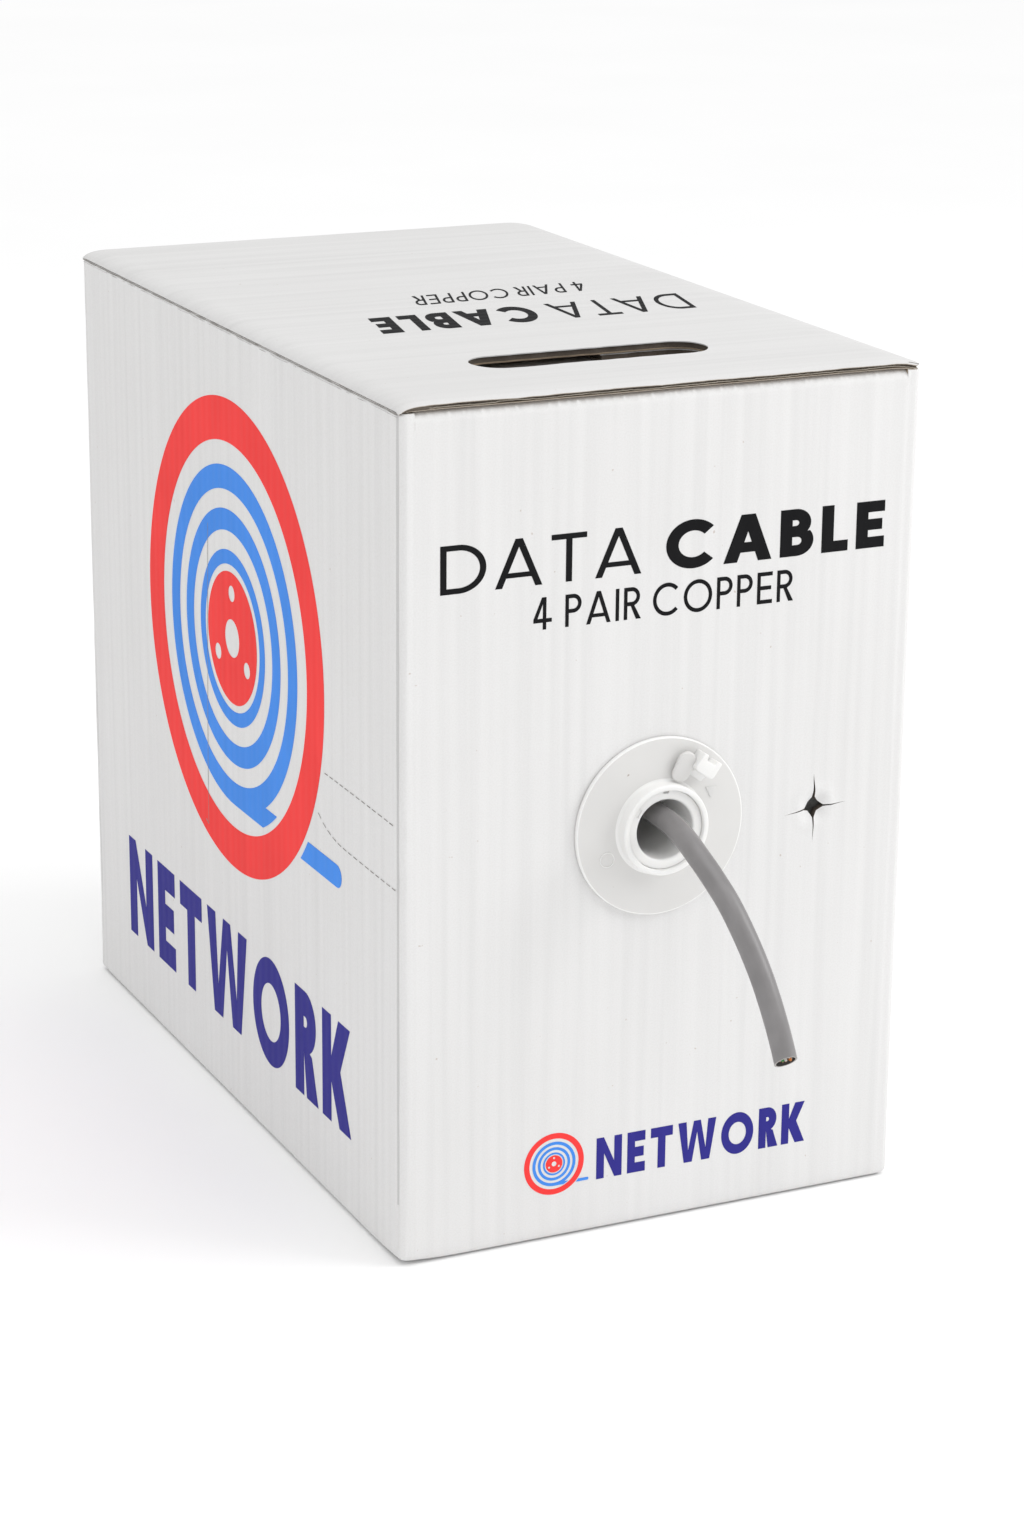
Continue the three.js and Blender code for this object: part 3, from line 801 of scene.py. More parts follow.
def make_walls():
    """The four walls and the closed bottom, as one sheet."""
    outer = perimeter(0)
    inner = perimeter(BOARD)
    count = len(outer)
    rows = bottom_rows(outer, inner)
    foot = len(rows)
    first, last, under_rim = 12, 318, 4
    for height in stations(first, last, 12, (STAR[1] - STAR_ZONE, STAR[1] + STAR_ZONE, 1.0)):
        share = (height - first) / (last - first)
        rows.append([(x, y, first + (rim - under_rim - first) * share) for x, y, rim in outer])
    rows.append([(x, y, rim - 0.8) for x, y, rim in outer])
    lip = []
    for (x, y, rim), (u, v, _) in zip(outer, inner):
        share = 0.25 if rim in (LEFT_RIM, CORNER_RIM) else 0.0
        lip.append((x + (u - x) * share, y + (v - y) * share, rim))
    rows.append(lip)
    # Columns in a side wall's score, whose faces take the darker board as painted shade in the groove.
    score_shade_columns = [abs(x) > HALF_X - 0.6 and abs(abs(y) - (HALF_Y - SCORE)) < 1.25 for x, y, _ in outer]
    points, indices = [], []
    for row in rows:
        for (x, y, z), (u, v, _) in zip(row, inner):
            depth = wall_relief(x, y, z) if z > 5 else 0
            away = Vector((u - x, v - y, 0))
            shift = away.normalized() * depth if away.length > 1e-6 else away
            points.append((x + shift.x, y + shift.y, z))
    outer_rows = len(rows)
    for row in reversed(rows[foot:]):
        points += [(u, v, z) for (_, _, z), (u, v, _) in zip(row, inner)]
    points += [(u, v, 3.2) for u, v, _ in inner]
    total = len(points) // count
    faces = ring_faces(total, count)
    for i in range(total - 1):
        for k in range(count):
            indices.append(1 if i >= outer_rows - 1 else 3 if score_shade_columns[k] and i > foot else 0)
    faces += [tuple(range(count)), tuple(range((total - 1) * count, total * count))]
    indices += [0, 1]
    skins = [wall_white, kraft, core, score_board_painted_shade]
    walls = orient(mesh_object("carton_walls", points, faces, skins, indices, 50))
    pierce_front(walls, arc(SPOUT, COLLAR_RADIUS + 0.5, 0, 352, 44))
    cut_star(walls)
    smooth(walls, 40)
    finish_piece(
        walls, "carton", "white_board",
        "front_panel", "back_panel", "left_panel", "right_panel", "bottom_outer_flap",
    )


def pierce_front(walls, outline):
    """Cuts an outline, in X and Z, through the front wall."""
    carve(walls, prism("hole", outline, -HALF_Y - 3, -HALF_Y + 6, core, lambda a, b, c: (a, c, b)))


def polar(centre, radius, angle):
    """The point at a radius and an angle in degrees from a centre."""
    return arc(centre, radius, angle, angle, 1)[0]


def star_outline():
    """Two crossing slits that open to a small ragged hole where their points have been pushed in."""
    arms = [(14.4, 2.5, 0.34), (14.0, 91.5, 0.62), (13.2, 188.0, 0.3), (14.4, 269.5, 0.36)]
    waists = [(3.1, 44), (2.7, 137), (2.5, 226), (2.9, 315)]
    near, far = 4.3, 8.5
    made = []
    for (tip, at, width), (waist, between) in zip(arms, waists):
        sides = ((near, -width), (far, -width * 0.55), (tip, 0), (far, width * 0.5), (near, width))
        for radius, offset in sides:
            made.append(polar(STAR, radius, at + math.degrees(offset / radius)))
        made.append(polar(STAR, waist, between))
    return made


def cut_star(walls):
    """Cuts the star into the front wall, bends its points inwards and backs it with the torn facing,
    coloured a dark grey as painted shade inside the hole.
    """
    pierce_front(walls, star_outline())
    for vertex in walls.data.vertices:
        x, y, z = (c / MM for c in vertex.co)
        a, b = x - STAR[0], z - STAR[1]
        reach = math.hypot(a, b)
        if y > -HALF_Y + 4 or reach > STAR_ZONE:
            continue
        between = abs(math.sin(2 * math.atan2(b, a)))
        push = 3.2 * max(0, 1 - reach / 10) ** 2 * (0.3 + 0.7 * between)
        lift = -0.6 * math.exp(-((reach - 7.5) / 2.6) ** 2) * (1 if b > 0 else 0.5)
        vertex.co.y += (push + lift) * MM
    sides = 24
    points = [(STAR[0], -HALF_Y + 6.2, STAR[1])]
    for reach, depth in ((3.5, 5.2), (7, 3.6)):
        for k in range(sides):
            x, z = polar(STAR, reach, 360 * k / sides)
            points.append((x, -HALF_Y + depth + 0.9 * jitter(k * 0.7, reach), z))
    faces = [(0, 1 + k, 1 + (k + 1) % sides) for k in range(sides)]
    faces += [tuple(1 + v for v in reversed(face)) for face in ring_faces(2, sides)]
    # A dark grey, darker than the kraft facing: painted shade inside the star's hole, on the torn facing
    # behind it.
    torn = kraft_material("torn_facing_painted_shade", (0.15, 0.148, 0.142), 2.0)
    backing = mesh_object("star_cut_backing", points, faces, [torn])
    modifier = backing.modifiers.new("thickness", "SOLIDIFY")
    modifier.thickness = 0.4 * MM
    settle(backing)
    finish_piece(backing, "carton", "kraft_board")


make_walls()


# ---------------------------------------------------------------- the carton's flaps


FOLD_ROWS = 14  # profile entries that belong to a flap's fold
FLAP_LENGTH = 103
CORE_TAPER = 6.0  # length at a flap's free edge over which its core draws back by a millimetre
FREE_CORNER = 3  # radius of the outer flap's free corners
HAND_HOLE = (-5.0, -121.0)  # the middle of the slot in the top, in X and Y
HOLE_RADIUS = 12.0
HOLE_REACH = 38.0  # from the slot's middle to the middles of its round ends


def flap_layers(name, profile, place, skin, columns, hole=None):
    """Board swept along a crease: two thin facings with a set-back core between them.
    A profile entry is (outer point, inner point, from, to), each point (inwards, height)."""
    parts = []
    last = len(profile) - 1
    tip = profile[-1][0][0]
    sparse = columns[::3] + ([columns[-1]] if (len(columns) - 1) % 3 else [])
    layers = (
        ("outer", (0.0, LINER), skin, liner_edge),
        ("core", (LINER, 1 - LINER), core, core),
        ("inner", (1 - LINER, 1.0), kraft, liner_edge),
    )
    for kind, depths, face, edge in layers:
        points = []
        shares = columns if kind == "outer" else sparse
        width = len(shares)
        for layer in depths:
            for i, (outer, inner, start, end) in enumerate(profile):
                set_back = 0.0
                loose = min(1, max(0, i - FOLD_ROWS) / 3)
                a = Vector(outer).lerp(Vector(inner), layer)
                if kind == "core":
                    set_back = 0.15 + (0.95 + 0.7 * jitter(i * 0.53, start * 0.1)) * loose
                    a.x -= min(1.0, max(0, (a.x - tip + CORE_TAPER) / CORE_TAPER))
                if kind == "outer":
                    set_back = 0.15 * jitter(i * 0.37, start * 0.2) * loose
                for share in shares:
                    s = start + set_back + (end - start - 2 * set_back) * share
                    points.append(place(s, a.x, a.y, layer))
        size = width * len(profile)
        sheet, rim = [], []
        for i in range(last):
            for k in range(width - 1):
                q = (i * width + k, i * width + k + 1, (i + 1) * width + k + 1, (i + 1) * width + k)
                sheet += [q, tuple(size + v for v in reversed(q))]
            for k in (0, width - 1):
                a, b = i * width + k, (i + 1) * width + k
                rim.append((a, b, b + size, a + size))
        for a in [row * width + k for k in range(width - 1) for row in (0, last)]:
            rim.append((a, a + 1, a + 1 + size, a + size))
        indices = [0] * len(sheet) + [1] * len(rim)
        part = orient(mesh_object(f"{name}_{kind}", points, sheet + rim, [face, edge], indices))
        if hole:
            outline = hole(0.7 if kind == "core" else 0.0)
            carve(part, prism("slot", outline, INNER_HINGE - 12, TOP + 8, core, lambda a, b, c: (a, b, c)))
        parts.append(part)
    made = join(name, parts)
    smooth(made, 35)
    return made


def finish_flap(flap, node, start, end):
    """Bakes a flap's place into its mesh and hides the node it stands for. The start and the end, in
    millimetres, are not used.
    """
    Vector(start) * MM
    Vector(end) * MM
    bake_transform(flap)
    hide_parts(node)


def hand_hole(margin, wobble=0.0, seed=0.0):
    """The slot's outline, its edge a little ragged and its near side wavy."""
    x, y = HAND_HOLE
    half = HOLE_RADIUS + margin
    across = steps(x - HOLE_REACH, x + HOLE_REACH, 2 * HOLE_REACH / 60)
    path = [(u, y - half) for u in across]
    path += arc((x + HOLE_REACH, y), half, -90, 90, 18)[1:]
    path += [(u, y + half) for u in across[-2::-1]]
    path += arc((x - HOLE_REACH, y), half, 90, 270, 18)[1:-1]
    made = []
    for u, v in path:
        out = Vector((u - x, (v - y) * 3)).normalized()
        near = wobble * 1.3 * jitter(u * 0.045 + 3.1, 2.0) if v < y else 0.0
        made.append(tuple(Vector((u, v)) + out * (near + wobble * jitter(u * 0.16 + seed, v * 0.13))))
    return made


def shares_of(length, coarse, margin=7.0, fine=1.2):
    """Places along a fold as shares of its length, closer together at its two ends."""
    zones = (0, margin, fine), (length - margin, length, fine)
    return [place / length for place in stations(0, length, coarse, *zones)]


def crease(z_low, z_top, depth, reach, inner_at, straight=2.2, pinch=0.0):
    """Outer and inner skin points that rise up a wall, turn over its crease and run inwards. A pinch
    draws the outer skin in at its foot, so that the fold bulges over a dark score."""
    base = z_low + straight
    outer = [(pinch, z_low), (pinch * 0.8, z_low + straight * 0.35), (pinch * 0.3, z_low + straight * 0.7)]
    turn = FOLD_ROWS - len(outer)
    for k in range(turn):
        angle = math.pi / 2 * k / (turn - 1)
        outer.append((reach * (1 - math.cos(angle)), base + (z_top - base) * math.sin(angle)))
    hinge = z_top - depth
    rise = (hinge - z_low) * 0.6
    inner = [(depth, z_low + rise * k / 3) for k in range(3)]
    for k in range(turn):
        share = k / (turn - 1)
        inner.append((depth + max(0, share - 0.5) * 2 * (inner_at - depth),
                      z_low + rise + (hinge - z_low - rise) * min(1, share * 1.6)))
    return list(zip(outer, inner))


def droop(x):
    """How far the outer flap's free edge sinks over the right wall's crease."""
    return 1.9 * max(0, (x - 96) / 13) ** 2


def make_outer_flap():
    profile = []
    for outer, inner in crease(LEFT_RIM, TOP, BOARD, 10.0, 10.4, 0.7, 0.9):
        grown = min(1, max(0, (outer[1] - CORNER_RIM) / 1.5))
        half = OUTER_HALF + (HALF_Y - 0.3 - OUTER_HALF) * grown
        profile.append((outer, inner, -half, half))
    length = 2 * HALF_X - 0.4
    round_from = length - FREE_CORNER
    tip = [x for x, _ in arc((round_from, 0), FREE_CORNER, 96, 0, 8)]
    for x in [*steps(11.5, length - 4, 2.2), *tip]:
        sink = droop(x - HALF_X)
        wave = 0.25 * jitter(x * 0.03) + 0.12 * jitter(x * 0.4)
        rounding = FREE_CORNER - math.sqrt(max(0, FREE_CORNER ** 2 - max(0, x - round_from) ** 2))
        half = HALF_Y - 0.4 - wave - rounding
        profile.append(((x, TOP - sink), (x, OUTER_HINGE - sink), -half, half))

    def place(s, u, z, layer):
        edge = max(0, 1 - (HALF_Y - abs(s)) / 5) ** 2
        crush = (1.35 + 0.35 * jitter(u * 0.05, 4.0)) * edge * (1 - layer)
        dent = 0.3 * ridge(u - 15, 7) * jitter(s * 0.02, 1.0)
        return (-HALF_X + u, s, z - crush - dent)

    flap = flap_layers(
        "lid_outer_flap", profile, place, top_white_painted_shade, shares_of(2 * HALF_Y, 7),
        lambda margin: hand_hole(margin, 0.6 + margin * 0.6),
    )
    finish_flap(flap, "top_outer_flap", *[(-HALF_X + d, 0, LEFT_RIM + d) for d in (1.5, 3.5)])


def make_flute_ends():
    """The fluted medium that shows between the facings of the outer flap's free edges."""
    points, faces = [], []

    def strip(path, thickness):
        """A ribbon of the fluted medium, from (deep point, edge point) pairs, thick along Z."""
        for k, pair in enumerate(path):
            for x, y, z in pair:
                points.extend([(x, y, z - thickness / 2), (x, y, z + thickness / 2)])
            if k:
                b = len(points) - 4
                a = b - 4
                faces.extend([(a, a + 2, b + 2, b), (a + 1, b + 1, b + 3, a + 3)])
                faces.append((a + 2, a + 3, b + 3, b + 2))

    side = []
    for y in steps(-HALF_Y + 1.5, HALF_Y - 1.5, FLUTE / 12):
        wave = 1.0 * math.sin(2 * math.pi * y / FLUTE)
        side.append([(x, y, TOP - BOARD / 2 + wave - droop(x)) for x in (HALF_X - 5, HALF_X - 0.6)])
    strip(side, 0.32)
    for end in (-1, 1):
        path = []
        for x in steps(-HALF_X + 10, HALF_X - 1.5, 0.7):
            z = TOP - 2.25 + 0.5 * jitter(x * 0.07, end * 5.0) + 0.2 * jitter(x * 0.6, end) - droop(x)
            edge = HALF_Y - 0.75 + 0.45 * jitter(x * 0.23, end * 2.0)
            path.append([(x, end * (HALF_Y - 4), z), (x, end * edge, z)])
        strip(path, 0.34)
    medium = kraft_material("fluted_medium", (0.34, 0.30, 0.25), 2.0)
    ribbon = mesh_object("lid_flute_ends", points, faces, [medium])
    smooth(ribbon, 60)
    finish_piece(ribbon, "top_outer_flap", "white_board")


def make_inner_flap():
    z_top = INNER_HINGE + BOARD
    profile = [(*pair, -INNER_HALF, INNER_HALF) for pair in crease(SIDE_RIM, z_top, BOARD, 7.5, 7.5)]
    for u in steps(11, FLAP_LENGTH, 9):
        profile.append(((u, z_top), (u, INNER_HINGE), -INNER_HALF, INNER_HALF))
    flap = flap_layers(
        "lid_inner_flap", profile, lambda s, u, z, layer: (HALF_X - u, s, z), top_white_painted_shade,
        shares_of(2 * INNER_HALF, 8), lambda margin: hand_hole(margin + 1.0, 0.6, 4.0),
    )
    finish_flap(flap, "top_inner_flap", (0, 0, SIDE_RIM), (0, 0, INNER_HINGE))


def make_dust_flap(name, node, side, hole):
    """A flap at the front or the back, that dips under the inner flap and narrows to its free edge."""
    z_top = INNER_HINGE + BOARD
    profile = [(*pair, -DUST_HALF, DUST_HALF) for pair in crease(SIDE_RIM, z_top, BOARD, 5.5, 4.6)]
    dip = BOARD + 0.3
    for u in [*steps(7.5, 15, 1.5), *steps(18, FLAP_LENGTH, 6)]:
        share = min(1, max(0, (u - 6) / 9))
        drop = dip * share * share * (3 - 2 * share)
        half = DUST_HALF - 0.55 * max(0, u - BOARD - 3)
        profile.append(((u, z_top - drop), (u, INNER_HINGE - drop), -half, half))

    def place(s, u, z, layer):
        """Small soft blisters stand along the fold, where the flutes burst under the facing."""
        crown = ridge(z - (z_top - 1.3), 1.6) if u < 4 else 0.0
        bump = max(0.0, jitter(s * 0.52, side * 3.0) + 0.1) * 0.9 * crown * (1 - layer)
        return (s, side * (HALF_Y - u + bump), z + bump * 0.3)

    flap = flap_layers(name, profile, place, wall_white, shares_of(2 * DUST_HALF, 0.55), hole)
    slope = Vector((0, 0.0833 * -side, 0.357))  # a slope inwards and upwards
    start = Vector((0, side * (HALF_Y - BOARD), SIDE_RIM))
    finish_flap(flap, node, start, start + slope / slope.length_squared)


make_outer_flap()
make_flute_ends()
make_inner_flap()
make_dust_flap("lid_front_flap", "top_front_flap", -1, lambda margin: hand_hole(margin - 1.6, 1.0, 9.0))
make_dust_flap("lid_back_flap", "top_back_flap", 1, None)


# ---------------------------------------------------------------- the printing


def glyph_path(code, w):
    """The outlines of a plain block letter one unit high with a stroke w wide, and its width."""
    if code == "A":
        width = 0.80 + w * 0.55
        foot = 1.12 * w
        lean = (width - 1.15 * w) / 2
        apex = 1 - 0.31 * w / lean - w * 0.6
        low, high, middle = 0.20, 0.20 + w * 0.9, width / 2

        def inside(y, sign):
            return middle + sign * (middle - foot) * (1 - y / apex)

        outline = [(0, 0), (middle - 0.58 * w, 1), (middle + 0.58 * w, 1), (width, 0), (width - foot, 0),
                   (inside(low, 1), low), (inside(low, -1), low), (foot, 0)]
        return [outline, [(inside(high, -1), high), (inside(high, 1), high), (middle, apex)]], width
    if code == "B":
        x, lower = 0.30, 0.26 * (1 + w)
        upper = (1 + w) / 2 - lower
        low, high = (x + 0.03, lower), (x, 1 - upper)
        notch = math.degrees(math.acos(1 - w / 2 / lower))
        low_out, low_in = arc(low, lower, -90, 90 - notch, 14), arc(low, lower - w, -90, 90, 12)
        high_out, high_in = arc(high, upper, -90 + notch, 90, 14), arc(high, upper - w, -90, 90, 12)
        outline = [(0, 0), *low_out, *high_out, (0, 1)]
        low_hole = [(w, w), *low_in, (w, 2 * lower - w)]
        return [outline, low_hole, [(w, 2 * lower), *high_in, (w, 1 - w)]], x + 0.03 + lower
    if code in "CO":
        out, gap = 0.515, 42
        centre = (out, 0.5)
        if code == "O":
            return [arc(centre, out, 0, 355, 71), arc(centre, out - w, 0, 355, 71)], 2 * out
        return [arc(centre, out, gap, 360 - gap, 60) + arc(centre, out - w, 360 - gap, gap, 60)], out * 1.82
    if code == "D":
        x, r = 0.33, 0.5
        inner = arc((x, r), r - w, -90, 90, 32)
        return [[(0, 0), *arc((x, r), r, -90, 90, 32), (0, 1)], [(w, w), *inner, (w, 1 - w)]], x + r
    if code == "E":
        width = 0.56
        a, b, arm = 0.5 - w / 2, 0.5 + w / 2, width * 0.92
        outline = [(0, 0), (width, 0), (width, w), (w, w), (w, a), (arm, a), (arm, b), (w, b)]
        return [[*outline, (w, 1 - w), (width, 1 - w), (width, 1), (0, 1)]], width
    if code == "I":
        return [[(0, 0), (w, 0), (w, 1), (0, 1)]], w
    if code == "K":
        width = 0.66 + w * 0.4
        top, lean = width - 0.02, 1.28 * w
        outline = [(0, 0), (w, 0), (w, 0.38), (width - lean, 0), (width, 0), (0.33 + w * 0.62, 0.54)]
        return [[*outline, (top, 1), (top - lean, 1), (w, 0.62), (w, 1), (0, 1)]], width
    if code == "L":
        return [[(0, 0), (0.52, 0), (0.52, w), (w, w), (w, 1), (0, 1)]], 0.52
    if code == "N":
        width = 0.72 + w * 0.3
        b, side = 1.65 * w, w * 0.95
        outline = [(0, 0), (w, 0), (w, 1 - b), (width - side, 0), (width, 0)]
        return [[*outline, (width, 1), (width - w, 1), (width - w, b), (side, 1), (0, 1)]], width
    if code in "PR":
        radius, x = 0.29, 0.28
        base, centre = 1 - 2 * radius, (x, 1 - radius)
        hole = [(w, base + w), *arc(centre, radius - w, -90, 90, 16), (w, 1 - w)]
        stem = [(0, 0), (w, 0), (w, base)]
        if code == "P":
            return [[*stem, *arc(centre, radius, -90, 90, 18), (0, 1)], hole], x + radius
        lean, toe = 1.2 * w, x + radius
        leg = [(x - 0.04, base), (toe - lean * 0.9, 0), (toe + 0.03 + lean * 0.1, 0)]
        leg.append((x + lean * 0.62, base + 0.005))
        return [[*stem, *leg, *arc(centre, radius, -66, 90, 18), (0, 1)], hole], toe
    if code == "T":
        width = 0.62 + w * 0.3
        a, b, under = (width - w) / 2, (width + w) / 2, 1 - w
        outline = [(a, 0), (b, 0), (b, under), (width, under), (width, 1), (0, 1), (0, under), (a, under)]
        return [outline], width
    if code == "W":
        width = 1.06 + w * 0.6
        s = 1.08 * w
        q, m, r = width * 0.27, width / 2, width - width * 0.27
        half, crotch = s / 2, s * 0.42
        outline = [(q - half, 0), (q + half, 0), (m, 0.72), (r - half, 0), (r + half, 0), (width, 1)]
        inner = [(width - s, 1), (r, 0.30), (m + crotch, 1), (m - crotch, 1), (q, 0.30), (s, 1), (0, 1)]
        return [outline + inner], width
    if code == "4":
        width, bar = 0.62 + w * 0.2, 0.22
        x, over = width * 0.70, 0.22 + w
        outline = [(x - w, 0), (x, 0), (x, bar), (width, bar), (width, over), (x, over), (x, 1)]
        outline += [(x - 1.25 * w, 1), (0, bar + w * 0.9), (0, bar), (x - w, bar)]
        return [outline, [(x - w, over), (w * 1.15, over), (x - w, 1 - w * 1.7)]], width
    raise ValueError(code)


def letter_line(runs, height, width, tracking=0.16):
    """Outlines for a line of words, each run (text, weight), fitted to a width in millimetres."""
    outlines, pen = [], 0.0
    for text, weight in runs:
        for code in text:
            if code == " ":
                pen += 0.30
                continue
            shapes, advance = glyph_path(code, weight)
            outlines += [[(x + pen, y) for x, y in shape] for shape in shapes]
            pen += advance + tracking
    full = pen - tracking
    return [[(x / full * width, y * height) for x, y in shape] for shape in outlines]


def flat_shape(name, outlines, material, place):
    """A filled flat shape from outlines, where an outline inside another is a hole."""
    curve = bpy.data.curves.new(name, "CURVE")
    curve.dimensions = "2D"
    curve.fill_mode = "BOTH"
    for outline in outlines:
        strip = curve.splines.new("POLY")
        strip.points.add(len(outline) - 1)
        for point, (x, y) in zip(strip.points, outline):
            point.co = (x, y, 0, 1)
        strip.use_cyclic_u = True
    holder = bpy.data.objects.new(name, curve)
    scene.collection.objects.link(holder)
    mesh = bpy.data.meshes.new_from_object(holder.evaluated_get(bpy.context.evaluated_depsgraph_get()))
    bpy.data.objects.remove(holder)
    bpy.data.curves.remove(curve)
    for vertex in mesh.vertices:
        vertex.co = Vector(place(vertex.co.x, vertex.co.y)) * MM
    mesh.materials.clear()
    mesh.materials.append(material)
    for polygon in mesh.polygons:
        polygon.material_index = 0
    obj = bpy.data.objects.new(name, mesh)
    scene.collection.objects.link(obj)
    return obj


def face_out(obj, direction):
    shape = bmesh.new()
    shape.from_mesh(obj.data)
    for face in shape.faces:
        face.normal_update()
    wrong = [face for face in shape.faces if face.normal.dot(Vector(direction)) < 0]
    bmesh.ops.reverse_faces(shape, faces=wrong)
    shape.to_mesh(obj.data)
    shape.free()
    return obj


INK_LIFT = 0.07  # height of the ink's flat shapes above the board


def on_front(x, z, lift):
    return (x, -HALF_Y - lift, z)


def on_left(y, z, lift):
    return (-HALF_X - lift, -y, z)


def on_top(x, y, lift):
    return (x, y, TOP + lift)


def shifted(outlines, dx, dy):
    return [[(dx + x, dy + y) for x, y in outline] for outline in outlines]


def upside_down(outlines, start, base, slope, lean):
    """Places a line of print so that it is read from the back: it starts at an X and runs towards -X,
    with its base line at a Y. Slope tips the line, and lean the letters, as the print is not square."""
    def place(x, y):
        return (start - x - lean * y, base - y + slope * (start - x))

    return [[place(x, y) for x, y in outline] for outline in outlines]


def reel_picture(radius):
    """A cable reel seen from the side, as flat outlines: its flange's rim and hub, its turns, and the
    cable's end, which passes behind the rim and leaves along the ground."""
    def ring(outer, inner):
        return [arc((0, 0), outer * k, 0, 358, 179), arc((0, 0), inner * k, 0, 358, 179)]

    def chord(size, height):
        """A place on a circle at a height, as the angle in degrees on its right side."""
        return math.degrees(math.asin(height / size))

    k = radius / 100
    bolts = [arc((0, 0), 19 * k, angle, angle + 1, 1)[0] for angle in (90, 210, 330)]
    red = ring(100, 82) + ring(28, 8) + [arc(bolt, 3.4 * k, 0, 345, 23) for bolt in bolts]
    blue = ring(72, 62) + ring(54, 45) + ring(37, 31)
    low, high = -72, -62.5
    inside = [(0, low * k), *arc((0, 0), 79 * k, chord(79, low), chord(79, high), 6), (0, high * k)]
    outside = [*arc((0, 0), 103 * k, chord(103, high), chord(103, low), 6), (112 * k, low * k),
               *arc((112 * k, (low + high) / 2 * k), (high - low) / 2 * k, -90, 90, 10)]
    return red, blue, [inside, outside]


def make_print():
    """Generic words and a picture of a reel, in the places and colours of the photograph's print."""
    def inked(name, colour, side, outlines, lift=INK_LIFT):
        place, normal, body, grain = side
        obj = flat_shape(name, outlines, ink_material(name, colour, *grain), lambda a, b: place(a, b, lift))
        finish_piece(face_out(obj, normal), body, "white_board")

    wall_grain = (WALL_ACROSS, WALL_ALONG)
    front = (on_front, (0, -1, 0), "carton", wall_grain)
    left = (on_left, (-1, 0, 0), "carton", wall_grain)
    top = (on_top, (0, 0, 1), "top_outer_flap", (TOP_ACROSS, TOP_ALONG))
    headline = [("DATA ", 0.115), ("CABLE", 0.235)]
    second = [("4 PAIR COPPER", 0.125)]
    word = [("NETWORK", 0.24)]
    inked("front_headline", BLACK, front, shifted(letter_line(headline, 18.5, 188), -93, 267.5))
    inked("front_second_line", BLACK, front, shifted(letter_line(second, 12.5, 110, 0.17), -55, 250))
    lines = upside_down(letter_line(headline, 32, 141), 85.5, -20.2, 0.023, 0.21)
    inked("top_headline", BLACK, top, lines)
    lines = upside_down(letter_line(second, 20, 80, 0.17), 60.7, 18.2, 0.062, 0.32)
    inked("top_second_line", BLACK, top, lines)
    walls = (
        ("front", front, (17.5, 94), (-25, 22), 13.0, (-43.5, 32)),
        ("side", left, (46, 262), (-133, 34), 100, (4, 208)),
    )
    for prefix, side, word_size, word_at, radius, reel_at in walls:
        inked(f"{prefix}_word", NAVY, side, shifted(letter_line(word, *word_size, 0.17), *word_at))
        red, blue, tail = reel_picture(radius)
        inked(f"{prefix}_reel_red", RED, side, shifted(red, *reel_at))
        inked(f"{prefix}_reel_blue", BLUE, side, shifted(blue, *reel_at))
        inked(f"{prefix}_reel_tail", BLUE, side, shifted(tail, *reel_at), INK_LIFT + 0.03)


make_print()


# ---------------------------------------------------------------- the spout


def on_flange(along, u, v):
    return (SPOUT[0] + u, along, SPOUT[1] + v)


def flange_place(angle):
    """Turns (outwards from the spout, round it, away from the flange) into a point."""
    a = math.radians(angle)
    out, side = Vector((math.cos(a), math.sin(a))), Vector((-math.sin(a), math.cos(a)))

    def place(u, v, h):
        at = out * u + side * v
        return (SPOUT[0] + at.x, FLANGE_FACE - h, SPOUT[1] + at.y)

    return place


CATCH_ANGLE = 54
CATCH = (25.6, 33.0, 4.7)  # from and to, outwards from the spout's middle, and half its width
CATCH_HEIGHT = 6.3
PADDLE_ANGLE = 70.5
PADDLE_START = 19.0
PADDLE_LENGTH = 12.9
PADDLE_HALF = 3.7
PADDLE_TILT = math.radians(10)


